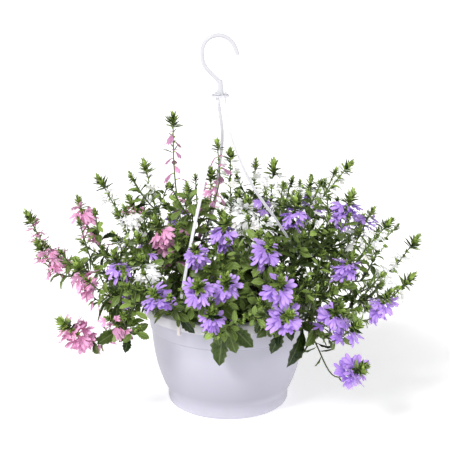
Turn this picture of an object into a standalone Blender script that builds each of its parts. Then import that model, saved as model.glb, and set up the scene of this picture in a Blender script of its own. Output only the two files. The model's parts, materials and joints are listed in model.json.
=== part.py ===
# Potted fan flower in a hanging pot. Metres, +Z up.
# Origin: centre of the pot's underside. The photo looks along +Y, with +X to its right.
import math
import random

import bmesh
import bpy
from mathutils import Matrix, Vector
from mathutils.bvhtree import BVHTree

MM = 0.001
SEED = 11
UP = Vector((0, 0, 1))

# Driving dimensions of the pot, radius and height in millimetres
RIM_RADIUS = 135.0
POT_HEIGHT = 170.0
SKIRT_BOTTOM = 151.7
CREASE_HEIGHT = 124.6
BASE_RADIUS = 92.0
FOOT_BAND = 19.0
WALL = 2.2
TURN_STEPS = 36
FIT_GAP = 0.35

# Soil
SOIL_TOP = 150.0
ROOT_DEPTH = 10.0
HOLE_RADIUS = 2.9

# Hanger
HUB_X = -12.0
HUB_Z = 485.0
PLATE_RADIUS = 14.0
PLATE_THICK = 3.0
SLOT_RADIUS = 8.0
STRAP_WIDTH = 5.0
STRAP_THICK = 1.6
HOOK_WIRE = 3.0

# Hook's middle line, X and height, from its open tip over the crown and down the shank
HOOK_POINTS = (
    (14, 548), (11, 557), (7, 565), (0, 572), (-10, 576.5), (-21, 576), (-31, 570.5), (-37.5, 560),
    (-39, 546), (-36.5, 534), (-29, 523.5), (-20.5, 515), (-14, 507), (-12, 498), (-12, 487))

# Straps: direction from the plate in degrees, then how far each bows aside on its way down
# and how many degrees its flat side turns there
STRAP_BOWS = {
    237.1: ((2, -4, 0), (1, -9, 0), (-1, -9, 0), (-1, -5, 0)),
    115.6: ((15, 2, 0), (18, 6, 0), (19, 8, 0), (10, 6, 0)),
    355.6: ((-17, 0, 0), (-19, -2, 0), (-6, -2, 0), (3, -1, 0)),
}
STRAP_TWISTS = {237.1: (0, 0, 0, 0), 115.6: (0, 10, 10, 0), 355.6: (-35, -62, -50, -20)}
STRAP_TURNS = tuple(STRAP_BOWS)

# Plants
STEM_SIDES = 3
STEM_RADIUS = 1.35
TIP_RADIUS = 1.1
NECK = 30.0
CLEAR = 0.4

# Each spray: name, root on the soil, then its stems. A stem: name, part of the first stem's length at
# which it branches off, middle of its tuft, lean outwards, tuft size (0 for a leafy shoot), single flowers
SPRAYS = [
    ("left_far", (-84, -8), [
        ("P1", 0.0, (-306, -20, 306), 0.45, 1.15, 3),
        ("P2", 0.45, (-286, -60, 273), 0.5, 1.1, 1),
        ("P3", 0.3, (-234, 30, 317), 0.3, 1.0, 1)]),
    ("left_front", (-72, -52), [
        ("P5", 0.0, (-222, -110, 257), 0.35, 1.1, 1),
        ("W4", 0.35, (-128, -130, 271), 0.4, 0.9, 0),
        ("L1", 0.5, (-172, -118, 216), 0.9, 0.0, 0)]),
    ("left_low", (-88, -34), [
        ("P4", 0.0, (-244, -130, 172), 1.0, 1.3, 0),
        ("P4c", 0.55, (-176, -150, 186), 1.2, 0.6, 2)]),
    ("tall", (-48, 8), [
        ("P7", 0.0, (-84, 10, 452), 0.0, 1.15, 5),
        ("P10", 0.35, (-63, -20, 353), 0.2, 0.8, 0),
        ("P8", 0.3, (-17, 8, 413), 0.1, 0.9, 2)]),
    ("centre_left", (-44, -26), [
        ("P6", 0.0, (-108, -60, 308), 0.35, 1.15, 1),
        ("G138", 0.5, (-134, -84, 290), 0.4, 1.0, 0),
        ("P9", 0.3, (-27, 24, 364), 0.0, 1.1, 2)]),
    ("white_left", (-42, 46), [
        ("W1", 0.0, (-204, 70, 340), 0.6, 1.2, 2),
        ("W2", 0.4, (-134, 92, 361), 0.3, 1.15, 2),
        ("W3", 0.45, (-160, 0, 312), 0.4, 0.8, 0)]),
    ("white_centre", (8, 22), [
        ("W5", 0.0, (28, -20, 330), 0.2, 1.25, 0),
        ("W6", 0.45, (56, -62, 310), 0.4, 0.9, 1),
        ("W15", 0.3, (4, 120, 375), 0.1, 1.1, 2)]),
    ("white_back", (34, 54), [
        ("W8", 0.0, (72, 60, 368), 0.1, 1.3, 1),
        ("W7", 0.4, (45, 112, 360), 0.2, 0.85, 1),
        ("W9", 0.4, (103, 92, 336), 0.4, 0.8, 0)]),
    ("white_right", (64, 32), [
        ("W11", 0.0, (193, 70, 366), 0.9, 1.1, 3),
        ("W10", 0.4, (130, 50, 343), 0.2, 1.0, 1),
        ("U18", 0.35, (58, 26, 330), 0.2, 0.6, 0)]),
    ("right_far", (84, 4), [
        ("W12", 0.0, (295, 20, 256), 0.7, 1.2, 2),
        ("W13", 0.45, (246, -30, 298), 0.8, 1.1, 1),
        ("W16", 0.4, (204, 0, 279), 0.2, 1.0, 0)]),
    ("front_left", (-30, -80), [
        ("U11", 0.0, (-108, -178, 236), 0.9, 1.0, 0),
        ("U12", 0.4, (-165, -122, 273), 0.3, 1.1, 0)]),
    ("front", (-8, -60), [
        ("U9", 0.0, (-4, -190, 260), 0.6, 1.1, 0),
        ("U8", 0.5, (-44, -202, 256), 0.8, 1.1, 0),
        ("U10", 0.4, (-24, -196, 212), 0.8, 1.1, 1),
        ("L2", 0.3, (-4, -152, 188), 1.6, 0.8, 0)]),
    ("centre", (2, -26), [
        ("U4", 0.0, (-6, -82, 318), 0.3, 1.2, 0),
        ("U19", 0.45, (-50, -112, 282), 0.6, 0.9, 0)]),
    ("front_right", (36, -74), [
        ("U6", 0.0, (73, -200, 260), 0.8, 1.15, 0),
        ("U7", 0.5, (86, -210, 214), 1.1, 1.15, 0),
        ("U5", 0.4, (60, -132, 294), 0.7, 1.0, 0),
        ("L3", 0.3, (82, -150, 186), 1.6, 0.0, 0)]),
    ("upper_right", (66, -22), [
        ("U1", 0.0, (188, -20, 338), 0.4, 1.25, 0),
        ("U2", 0.55, (224, 10, 305), 0.6, 0.9, 0),
        ("U3", 0.35, (103, -42, 338), 0.15, 1.3, 0)]),
    ("right", (88, -34), [
        ("U17", 0.0, (184, -90, 262), 0.4, 1.1, 0),
        ("W14", 0.5, (276, -60, 218), 0.8, 1.25, 1),
        ("U16", 0.4, (240, -92, 204), 0.6, 1.1, 0)]),
    ("low_right", (62, -62), [
        ("U13", 0.0, (160, -160, 206), 0.8, 1.2, 0),
        ("U15", 0.5, (196, -172, 119), 1.5, 1.2, 0),
        ("U14", 0.55, (186, -172, 184), 1.1, 1.1, 1),
        ("L4", 0.35, (122, -128, 176), 1.6, 0.0, 0)]),
    ("back_left", (-52, 82), [
        ("B1", 0.0, (-165, 165, 285), 0.6, 1.2, 1),
        ("B2", 0.4, (-90, 212, 262), 0.8, 1.1, 0),
        ("B3", 0.5, (-196, 195, 212), 1.0, 1.1, 1)]),
    ("back_centre", (2, 92), [
        ("B4", 0.0, (18, 216, 282), 0.7, 1.2, 0),
        ("B5", 0.5, (-40, 236, 214), 1.1, 1.1, 1),
        ("B6", 0.4, (76, 214, 226), 1.0, 1.1, 0)]),
    ("back_right", (58, 80), [
        ("B7", 0.0, (152, 180, 290), 0.6, 1.2, 1),
        ("B8", 0.4, (222, 128, 262), 0.8, 1.1, 1),
        ("B9", 0.5, (150, 222, 208), 1.1, 1.1, 0)]),
]

# Flower heads: stem, distance below its tuft, colour, flowers, tilt upwards in degrees, size
HEADS = [
    ("U1", 2, "purple", 7, -22, 1.1), ("U2", 2, "purple", 3, -15, 1.0), ("U3", 2, "purple", 7, -26, 1.1),
    ("U4", 2, "purple", 7, -26, 1.1), ("U5", 2, "purple", 5, -5, 1.1), ("U6", 2, "purple", 6, 4, 1.12),
    ("U7", 2, "purple", 6, 4, 1.15), ("U8", 2, "purple", 5, -6, 1.05), ("U9", 2, "purple", 4, -10, 1.0),
    ("U10", 2, "purple", 3, -10, 0.9), ("U11", 2, "purple", 6, 0, 1.15), ("U12", 2, "purple", 4, -25, 0.95),
    ("U13", 2, "purple", 5, -5, 1.1), ("U14", 2, "purple", 4, -8, 1.05), ("U15", 2, "purple", 7, 6, 1.15),
    ("U16", 2, "purple", 5, -15, 1.05), ("U17", 2, "purple", 5, -22, 1.05), ("U18", 2, "purple", 3, -10, 0.9),
    ("U19", 2, "purple", 4, -15, 1.0), ("P3", 3, "pink", 5, -20, 1.05), ("P1", 62, "pink", 3, -5, 0.95),
    ("P5", 6, "pink", 5, -20, 1.05), ("P4", 3, "pink", 5, 0, 1.1), ("P4", 15, "pink", 5, 0, 1.05),
    ("P6", 3, "pink", 5, -22, 1.1), ("W4", 3, "white", 4, -15, 1.0), ("W5", 3, "white", 7, -18, 1.1),
    ("W3", 2, "white", 4, -15, 1.0), ("W12", 62, "white", 3, -10, 0.9), ("B1", 2, "pink", 5, -12, 1.1),
    ("B2", 2, "purple", 4, -6, 1.1), ("B4", 2, "white", 5, -12, 1.1), ("B6", 2, "purple", 4, -6, 1.1),
    ("B7", 2, "purple", 5, -12, 1.1),
]

# Large leaves set by hand: stem, part of its length, direction of the blade, length
SET_LEAVES = [
    ("L2", 0.93, (-0.2, -0.2, -1.0), 70), ("L2", 0.84, (0.25, -0.35, -0.9), 50),
    ("L3", 0.96, (-0.25, -0.5, -0.9), 40), ("L3", 0.86, (0.6, -0.6, -0.6), 40),
    ("L4", 0.96, (0.1, -0.3, -1.0), 42), ("L4", 0.84, (0.3, -0.9, -0.2), 32),
    ("L1", 0.96, (-0.75, -0.35, -0.6), 46), ("L1", 0.86, (-0.1, -0.6, -0.9), 42),
    ("L1", 0.72, (-0.3, 0.7, 0.2), 32),
]

# Leaf: edge points as parts of its length, from root to tip, on one side
LEAF_EDGE = ((0.36, 0.13), (0.60, 0.235), (0.67, 0.175), (0.86, 0.165))
LEAF_MIDDLE = 0.55
LEAF_HALF_THICK = 0.5
LEAF_DROOP = 0.22
LEAF_SPACING = 132.0
SINGLE_SPACING = 13.0
BUD_HALF = 1.1
BLADE_START = 2.4

# How often a clear place is looked for
STEM_TRIES = 120
RING_TRIES = 12
FLOWER_TRIES = 24
BLADE_TRIES = 5
BUD_TRIES = 25
SET_TRIES = 30

# Flower: five lobes from a palm, angle in degrees and length, with the notches between them
PALM_REACH = 6.4
PALM_HALF_WIDTH = 4.2
PALM_HALF_THICK = 0.6
LOBES = ((-74, 12.0), (-37, 14.8), (0, 16.0), (37, 14.8), (74, 12.0))
LOBE_HALF_WIDTH = 2.0
NOTCH_REACH = 7.4
FLOWER_DROOP = 0.012

# Ring of receptacles that a head's flowers grow from
RING_SIDES = 5
RING_INNER = 2.15
RING_OUTER = 3.1
TIER_STEP = 3.0

# Tuft of bracts on a stem's tip: whorls of three, with their reach and rise
TUFT_STEP = 5.2
TUFT_CORE = (2.3, 2.5, 1.9)
TUFT_REACH = (8.6, 9.2, 7.0)
TUFT_RISE = (7.5, 9.0, 9.5)
TUFT_TOP = 11.0
SMALL_TUFT = 1.05

COLOURS = {
    "purple": (0.42, 0.25, 0.80, 1),
    "pink": (0.86, 0.34, 0.58, 1),
    "white": (0.86, 0.86, 0.84, 1),
}

rng = random.Random(SEED)


# Directions and places

def axes(origin, forward, up):
    """Matrix of a piece with X forward and Z close to up."""
    x = forward.normalized()
    y = up.cross(x)
    if y.length < 0.05:
        y = Vector((0.3, 1, 0.2)).cross(x)
    y.normalize()
    z = x.cross(y)
    place = Matrix((x, y, z)).transposed().to_4x4()
    place.translation = origin
    return place


def tip_direction(middle, lean):
    """The way a tuft points: up, leaning away from the pot's axis."""
    outward = Vector((middle[0], middle[1], 0)).normalized()
    return (UP + outward * lean).normalized()


def bezier(a, b, c, d, t):
    s = 1 - t
    return a * s ** 3 + b * 3 * s * s * t + c * 3 * s * t * t + d * t ** 3


def path_length(path):
    return sum((b - a).length for a, b in zip(path, path[1:]))


def path_marks(path):
    """Distance of each of a path's points along it."""
    return [path_length(path[:count]) for count in range(1, len(path) + 1)]


def along_path(path, distance):
    """Place and direction at a distance along a path, and the part of the path where it is."""
    left = distance
    for index, (a, b) in enumerate(zip(path, path[1:])):
        length = (b - a).length
        if left <= length or index == len(path) - 2:
            return a + (b - a) * (left / length), (b - a).normalized(), index
        left -= length


def carried_sides(path, side):
    """A direction square to the path, carried along it without turning about it."""
    sides = []
    for index in range(len(path)):
        before = path[max(index - 1, 0)]
        after = path[min(index + 1, len(path) - 1)]
        along = (after - before).normalized()
        side = (side - along * side.dot(along)).normalized()
        sides.append((along, side))
    return sides


# Shapes as points and faces, with `grow` to keep a distance from what is there already

def ring(centre, along, side, radius, turn, sides):
    across = along.cross(side)
    angles = [turn + 2 * math.pi * k / sides for k in range(sides)]
    return [centre + (side * math.cos(a) + across * math.sin(a)) * radius for a in angles]


def band(lower, upper, count):
    """Triangles between two rings of points, given by their first indices."""
    faces = []
    for k in range(count):
        after = (k + 1) % count
        faces.append((lower + k, lower + after, upper + after))
        faces.append((lower + k, upper + after, upper + k))
    return faces


def stem_rings(stem, grow):
    """Rings of a stem: one at each point of its path and two at each bud."""
    path, radii, sides = stem["path"], stem["radii"], stem["sides"]
    rings = []
    reached = 0.0
    for index, centre in enumerate(path):
        if index:
            reached += (centre - path[index - 1]).length
        along, side = sides[index]
        rings.append((reached, None, ring(centre, along, side, radii[index] + grow, 0, STEM_SIDES)))
    for bud in stem["buds"]:
        for end in (-1, 1):
            distance = bud["distance"] + end * BUD_HALF * MM
            rings.append((distance, bud if end < 0 else None, bud_ring(stem, distance)))
    return sorted(rings, key=lambda row: row[0])


def bud_ring(stem, distance):
    """The stem's own ring of points at a distance along it."""
    centre, along, index = along_path(stem["path"], distance)
    side = stem["sides"][index][1]
    side = (side - along * side.dot(along)).normalized()
    part = distance / path_length(stem["path"])
    radius = stem["radii"][0] * (1 - part) + stem["radii"][-1] * part
    return ring(centre, along, side, radius, 0, STEM_SIDES)


def stem_shape(stem, grow=0.0):
    """A stem in one skin, with what its buds carry, ending in whorls of pointed bracts."""
    path, tuft = stem["path"], stem["tuft"]
    along, side = stem["sides"][-1]
    points = []
    faces = [tuple(reversed(range(STEM_SIDES)))]
    rings = stem_rings(stem, grow)
    firsts = []
    for row in rings:
        firsts.append(len(points))
        points += row[2]
    for row, low, high in zip(rings, firsts, firsts[1:]):
        carried = row[1]["blades"] if row[1] else {}
        for k in range(STEM_SIDES):
            after = (k + 1) % STEM_SIDES
            corners = (low + k, low + after, high + after, high + k)
            if k in carried:
                faces += grown_blade(points, corners, carried[k])
            else:
                faces.append(corners)
    last = firsts[-1]
    if tuft == 0:
        points.append(path[-1] + along * (2 * MM + grow))
        return points, faces + cap(last, len(points) - 1)
    turn = 0.0
    centre = path[-1]
    half_step = math.pi / STEM_SIDES
    whorls = list(zip(TUFT_CORE, TUFT_REACH, TUFT_RISE))
    for core, reach, rise in whorls if tuft >= SMALL_TUFT else whorls[1:]:
        bract_turn = turn + 1.5 * half_step
        turn += half_step
        bract = centre + along * ((rise + TUFT_STEP / 2) * MM * tuft + grow)
        centre = centre + along * TUFT_STEP * MM * tuft
        upper = len(points)
        points += ring(centre, along, side, core * MM * tuft + grow, turn, STEM_SIDES)
        tips = len(points)
        points += ring(bract, along, side, reach * MM * tuft + grow, bract_turn, STEM_SIDES)
        for k in range(STEM_SIDES):
            after = (k + 1) % STEM_SIDES
            edge = (last + k, last + after, upper + after, upper + k)
            faces += [(a, b, tips + k) for a, b in zip(edge, edge[1:] + edge[:1])]
        last = upper
    points.append(centre + along * (TUFT_TOP * MM * tuft + grow))
    return points, faces + cap(last, len(points) - 1)


def cap(first, top):
    """Faces from a ring up to one point."""
    return [(first + k, first + (k + 1) % STEM_SIDES, top) for k in range(STEM_SIDES)]


def leaf_edge(length, grow):
    """Edge of a toothed leaf from its root's one side round its tip to the other, in its own axes."""
    outline = [(x * length, -half * length - grow) for x, half in LEAF_EDGE]
    outline.append((length + grow, 0.0))
    outline += [(x * length, half * length + grow) for x, half in reversed(LEAF_EDGE)]
    return [Vector((x, y, -LEAF_DROOP * x * x / length)) for x, y in outline]


def flower_edge(size, grow, blunt):
    """Edge of a flower's palm and lobes, from one side round to the other."""
    reach = PALM_REACH * size
    half = PALM_HALF_WIDTH * size + grow / MM
    edge = [(reach, -half)]
    for index, (degrees, length) in enumerate(LOBES):
        angle = math.radians(degrees)
        out = length * size + grow / MM
        spread = (LOBE_HALF_WIDTH * size + grow / MM) / out
        outer = index in (0, len(LOBES) - 1)
        for turn in ((angle - spread, angle + spread) if blunt and not outer else (angle,)):
            edge.append((reach + out * math.cos(turn), out * math.sin(turn)))
        if index < len(LOBES) - 1:
            turn = angle + math.radians(18.5)
            out = NOTCH_REACH * size + grow / MM
            edge.append((reach + out * math.cos(turn), out * math.sin(turn)))
    edge.append((reach, half))
    return [Vector((x, y, -FLOWER_DROOP * (x * x + y * y) / size)) * MM for x, y in edge]


def blade_parts(kind, size, grow=0.0):
    """A blade's edge, and its middle on the upper and under face: a leaf's size is its length."""
    if kind == "leaf":
        edge = leaf_edge(size, grow)
        middle = Vector((LEAF_MIDDLE, 0, -LEAF_DROOP * LEAF_MIDDLE ** 2)) * size
        half = Vector((0, 0, LEAF_HALF_THICK * MM + grow))
        return edge, middle + half, middle - half
    edge = flower_edge(size, grow, kind == "flower")
    reach = PALM_REACH * size
    middle = Vector((reach, 0, -FLOWER_DROOP * reach * reach / size)) * MM
    half = Vector((0, 0, PALM_HALF_THICK * MM + grow))
    return edge, middle + half, middle - half


def grown_blade(points, corners, blade):
    """Adds a blade's points and gives its faces, grown out of a face with these four corners."""
    edge, upper, under = blade_parts(blade["kind"], blade["size"])
    left = len(points)
    right = left + len(edge) - 1
    top, bottom = right + 1, right + 2
    points += [blade["place"] @ point for point in edge + [upper, under]]
    bl, br, tr, tl = corners
    faces = [(bl, br, bottom), (bl, bottom, left), (br, right, bottom), (br, tr, right),
             (tr, tl, top), (tl, left, top), (tr, top, right), (tl, bl, left)]
    faces += [(top, k, k + 1) for k in range(left, right)]
    return faces + [(bottom, k + 1, k) for k in range(left, right)]


def free_blade(blade, grow=0.0):
    """The blade beyond its root, closed, as something to keep clear of."""
    edge, upper, under = blade_parts(blade["kind"], blade["size"], grow)
    start = BLADE_START * MM
    width = 0.8 * MM + grow
    root = [(start, -width, -width), (start, width, -width), (start, width, width), (start, -width, width)]
    points = [Vector(corner) for corner in root]
    count = len(edge)
    left, right, top, bottom = 4, 3 + count, 4 + count, 5 + count
    points += edge + [upper, under]
    faces = [(3, 2, 1, 0), (0, 1, bottom), (0, bottom, left), (1, right, bottom), (1, 2, right),
             (2, 3, top), (3, left, top), (2, top, right), (3, 0, left)]
    faces += [(top, k, k + 1) for k in range(left, right)]
    faces += [(bottom, k + 1, k) for k in range(left, right)]
    return [blade["place"] @ point for point in points], faces


def ring_shape(place, heights, grow=0.0):
    """The receptacle ring on its own, as something to keep clear of."""
    side = place.col[0].to_3d()
    along = place.col[2].to_3d()
    points = []
    for height in (heights[0] - grow, heights[-1] + grow):
        points += ring(place.translation + along * height, along, side, RING_OUTER * MM + grow, 0, RING_SIDES)
    return points, band(0, RING_SIDES, RING_SIDES)


def head_shape(head):
    """A head in one skin: each flower grows out of one face of the receptacle ring."""
    place, heights, flowers = head["place"], head["heights"], head["flowers"]
    side = place.col[0].to_3d()
    along = place.col[2].to_3d()
    points = []
    for height in heights:
        points += ring(place.translation + along * height, along, side, RING_OUTER * MM, 0, RING_SIDES)
    inner = len(points)
    for height in (heights[0], heights[-1]):
        points += ring(place.translation + along * height, along, side, RING_INNER * MM, 0, RING_SIDES)
    top = (len(heights) - 1) * RING_SIDES
    faces = [tuple(reversed(face)) for face in band(inner, inner + RING_SIDES, RING_SIDES)]
    faces += [tuple(reversed(face)) for face in band(0, inner, RING_SIDES)]
    faces += band(top, inner + RING_SIDES, RING_SIDES)
    for tier in range(len(heights) - 1):
        for k in range(RING_SIDES):
            low, high = tier * RING_SIDES, (tier + 1) * RING_SIDES
            after = (k + 1) % RING_SIDES
            corners = (low + k, low + after, high + after, high + k)
            if (tier, k) in flowers:
                faces += grown_blade(points, corners, flowers[(tier, k)])
            else:
                faces.append(corners)
    return points, faces


def turned_shape(profile, grow=0.0):
    """Closed outline of radius and height, turned round the pot's axis."""
    points = []
    for radius, height in profile:
        centre = Vector((0, 0, height * MM))
        points += ring(centre, UP, Vector((1, 0, 0)), radius * MM + grow, 0, TURN_STEPS)
    faces = []
    for index in range(len(profile)):
        after = (index + 1) % len(profile)
        faces += band(index * TURN_STEPS, after * TURN_STEPS, TURN_STEPS)
    return points, faces


def strip_shape(path, sides, width, thick):
    """A flat strap through a path's points; `sides` gives the way its width runs at each."""
    points = []
    for index, centre in enumerate(path):
        before = path[max(index - 1, 0)]
        after = path[min(index + 1, len(path) - 1)]
        along = (after - before).normalized()
        across = (sides[index] - along * sides[index].dot(along)).normalized()
        out = along.cross(across)
        for a, b in ((-1, -1), (1, -1), (1, 1), (-1, 1)):
            points.append(centre + across * a * width[index] / 2 + out * b * thick / 2)
    faces = [(3, 2, 1, 0)]
    for index in range(len(path) - 1):
        faces += band(index * 4, (index + 1) * 4, 4)
    last = (len(path) - 1) * 4
    faces.append((last, last + 1, last + 2, last + 3))
    return points, faces


# Keeping clear of what is placed

placed = []


def solid_tree(shape):
    """A tree of the shape's faces, with the sphere round it."""
    points, faces = shape
    middle = sum(points, Vector()) / len(points)
    radius = max((point - middle).length for point in points)
    return BVHTree.FromPolygons(points, faces), middle, radius


def is_clear(shape, owner="", own_too=()):
    """True if a shape crosses nothing of another owner, nor what is named in own_too."""
    tree, middle, radius = solid_tree(shape)
    for other, kind, other_tree, other_middle, other_radius in placed:
        if other == owner and kind not in own_too:
            continue
        if (middle - other_middle).length > radius + other_radius:
            continue
        if tree.overlap(other_tree):
            return False
    return True


def keep(shape, owner, kind):
    placed.append((owner, kind) + solid_tree(shape))


# Places of everything that grows, found by rule

def strap_path(degrees):
    """Strap's middle line from above the plate, down in a bow, over the rim and down its skirt."""
    turn = math.radians(degrees)
    outward = Vector((math.cos(turn), math.sin(turn), 0))
    hub = Vector((HUB_X, 0, 0))
    top = hub + outward * SLOT_RADIUS
    rim = RIM_RADIUS + FIT_GAP + STRAP_THICK / 2
    over = outward * rim
    bow = STRAP_BOWS[degrees]
    path = [top + UP * (HUB_Z + PLATE_THICK + 1.5), top + UP * (HUB_Z - 6)]
    start = path[-1]
    end = over + UP * (POT_HEIGHT + 6)
    for part, sway in zip((0.2, 0.42, 0.62, 0.82), bow):
        path.append(start.lerp(end, part) + Vector(sway))
    path.append(end)
    path.append(over + UP * (SKIRT_BOTTOM - 6))
    return [point * MM for point in path], outward


def strap_sides(degrees, path, outward):
    """The way a strap's width runs at each of its path's points, with its twist."""
    side = UP.cross(outward)
    along = (path[-2] - path[1]).normalized()
    twists = (0, 0) + STRAP_TWISTS[degrees] + (0, 0)
    return [Matrix.Rotation(math.radians(twist), 3, along) @ side for twist in twists]


def strap_strip(degrees, grow=0.0):
    """One strap as a flat strip, thicker by `grow` all round."""
    path, outward = strap_path(degrees)
    widths = [STRAP_WIDTH * MM + 2 * grow] * len(path)
    sides = strap_sides(degrees, path, outward)
    return strip_shape(path, sides, widths, STRAP_THICK * MM + 2 * grow)


def stem_route(start, start_direction, row, strength, steps):
    """Points of a stem from where it starts to the base of its tuft, with a random sway."""
    name, part, middle, lean, tuft, singles = row
    end_direction = tip_direction(middle, lean)
    base = Vector(middle) * MM - end_direction * 12 * MM * max(tuft, 0.3)
    neck = base - end_direction * (NECK * MM if tuft else 10 * MM)
    reach = (neck - start).length * 0.4
    sways = [Vector((rng.uniform(-1, 1), rng.uniform(-1, 1), rng.uniform(-0.5, 0.7))) for k in range(2)]
    second = start + start_direction * reach + sways[0] * strength
    third = neck - end_direction * reach + sways[1] * strength
    return [bezier(start, second, third, neck, step) for step in steps] + [neck, base]


def grow_stem(spray, row, first):
    """Finds a clear path for one stem and keeps it."""
    name, part, middle, lean, tuft, singles = row
    if first is None:
        root = Vector((spray[1][0], spray[1][1], SOIL_TOP)) * MM
        head = [root - UP * (ROOT_DEPTH - 1) * MM, root + UP * 4 * MM]
        outward = Vector((middle[0], middle[1], 0)) * MM
        direction = (UP * 0.55 + outward * 1.0).normalized()
        steps = (0.34, 0.7)
    else:
        start, direction = along_path(first["path"], part * path_length(first["path"]))[:2]
        target = (Vector(middle) * MM - start).normalized()
        direction = (direction * 0.6 + target + UP * 0.2).normalized()
        head = [start]
        steps = (0.4, 0.75) if tuft else (0.5,)
    thick = STEM_RADIUS if first is None else STEM_RADIUS * 0.9
    for attempt in range(STEM_TRIES):
        path = head + stem_route(head[-1], direction, row, attempt * 0.9 * MM, steps)
        count = len(path) - 1
        radii = [(thick + (TIP_RADIUS - thick) * k / count) * MM for k in range(count + 1)]
        stem = {"name": name, "spray": spray[0], "path": path, "radii": radii, "tuft": tuft, "buds": [],
                "sides": carried_sides(path, Vector((1, 0.2, 0.1))), "singles": singles}
        if is_clear(stem_shape(stem, CLEAR * MM), spray[0], ("tip",)):
            break
    else:
        print("no clear way for", name)
    keep(stem_shape(stem), spray[0], "stem")
    if tuft:
        tip = dict(stem, path=path[-2:], radii=radii[-2:], sides=stem["sides"][-2:])
        keep(stem_shape(tip), spray[0], "tip")
    return stem


def grow_head(number, row, stems):
    """Sets a head's ring on its stem and finds a clear place for each of its flowers."""
    stem_name, drop, colour, count, tilt, size = row
    stem = stems[stem_name]
    length = path_length(stem["path"])
    tiers = 1 if count <= RING_SIDES else 2
    heights = [TIER_STEP * MM * k for k in range(tiers + 1)]
    owner = f"petals_{number:02d}"
    for shift in range(RING_TRIES):
        low = length - (drop + shift * 1.5) * MM - heights[-1]
        high = low + heights[-1]
        centre, along = along_path(stem["path"], low)[:2]
        place = axes(centre, along.orthogonal(), along)
        bends = [mark for mark in path_marks(stem["path"]) if low - 2 * MM < mark < high + 1 * MM]
        if not bends and is_clear(ring_shape(place, heights, CLEAR * MM), stem["spray"]):
            break
    else:
        print("no clear ring for", stem_name)
    stem["rings"].append((low - 2 * MM, high + 2 * MM))
    keep(ring_shape(place, heights), owner, "ring")
    faces = [(tier, k) for tier in range(tiers) for k in range(RING_SIDES)]
    rng.shuffle(faces)
    flowers = {}
    for face in sorted(faces[:count]):
        found = grow_flower(place, heights, face, tilt, size)
        if found:
            flowers[face] = found
    return {"name": owner, "colour": colour, "place": place, "heights": heights, "flowers": flowers}


def grow_flower(place, heights, face, tilt, size):
    """Tries one flower on a face of a head's ring, turned and shrunk till it is clear."""
    tier, k = face
    along = place.col[2].to_3d()
    side = place.col[0].to_3d()
    turn = 2 * math.pi * (k + 0.5) / RING_SIDES
    out = side * math.cos(turn) + along.cross(side) * math.sin(turn)
    apothem = RING_OUTER * MM * math.cos(math.pi / RING_SIDES)
    level = (heights[tier] + heights[tier + 1]) / 2
    origin = place.translation + along * level + out * apothem
    for attempt in range(FLOWER_TRIES):
        lift = math.radians(tilt + (tier * 14 - 4) + rng.uniform(-10, 10) * (1 + attempt * 0.12))
        roll = math.radians(rng.choice((-1, 1)) * rng.uniform(8, 26 + attempt))
        yaw = math.radians(rng.uniform(-10, 10) * (1 + attempt * 0.1))
        scale = size * rng.uniform(0.94, 1.05) * (1 - 0.014 * attempt)
        forward = Matrix.Rotation(yaw, 3, along) @ out
        forward = forward * math.cos(lift) + along * math.sin(lift)
        upward = Matrix.Rotation(roll, 3, forward) @ along
        flower = {"kind": "flower", "place": axes(origin, forward, upward), "size": scale}
        if is_clear(free_blade(flower, CLEAR * MM)):
            keep(free_blade(flower), "flower", "blade")
            return flower
    return None


def new_bud(stem, distance):
    """A bud on a stem, moved clear of its bends, its ends, its heads and its other buds."""
    path = stem["path"]
    reached = path_marks(path)
    taken = [(mark - 1 * MM, mark + 1 * MM) for mark in reached]
    taken += [(bud["distance"] - 2 * MM, bud["distance"] + 2 * MM) for bud in stem["buds"]]
    taken += stem["rings"]
    half = (BUD_HALF + 1) * MM
    for step in range(BUD_TRIES):
        moved = distance + (step // 2 + step % 2) * (1 if step % 2 else -1) * MM
        if moved < reached[0] + 4 * MM or moved > reached[-1] - 3 * MM:
            continue
        if all(moved + half < low or moved - half > high for low, high in taken):
            return {"distance": moved, "blades": {}}
    return None


def bud_place(stem, bud, k):
    """Middle and outward direction of one face of a bud."""
    corners = bud_ring(stem, bud["distance"])
    middle = (corners[k] + corners[(k + 1) % STEM_SIDES]) / 2
    centre, along = along_path(stem["path"], bud["distance"])[:2]
    return middle, (middle - centre).normalized(), along


def grow_blade(stem, bud, k, forward, upward, kind, size):
    """Tries one leaf or single flower on a bud's face and keeps it if nothing is in its way."""
    middle = bud_place(stem, bud, k)[0]
    blade = {"kind": kind, "place": axes(middle, forward, upward), "size": size}
    if not is_clear(free_blade(blade, CLEAR * MM)):
        return False
    keep(free_blade(blade), "blade", kind)
    bud["blades"][k] = blade
    return True


def grow_on_bud(stem, distance, count, kind, size):
    """Up to `count` leaves or single flowers on a new bud, turned till they are clear."""
    bud = new_bud(stem, distance)
    if bud is None:
        return
    order = list(range(STEM_SIDES))
    rng.shuffle(order)
    for k in order:
        if len(bud["blades"]) == count:
            break
        out, along = bud_place(stem, bud, k)[1:]
        for attempt in range(BLADE_TRIES):
            yaw = rng.uniform(-0.5, 0.5)
            lift = rng.uniform(0.0, 0.7) if kind == "leaf" else rng.uniform(-0.1, 0.4)
            forward = Matrix.Rotation(yaw, 3, along) @ out + along * lift
            upward = along + UP * 0.5 + out * rng.uniform(-0.2, 0.2)
            scale = size * (1 - 0.03 * attempt)
            if grow_blade(stem, bud, k, forward, upward, kind, scale):
                break
    if bud["blades"]:
        stem["buds"].append(bud)


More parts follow.
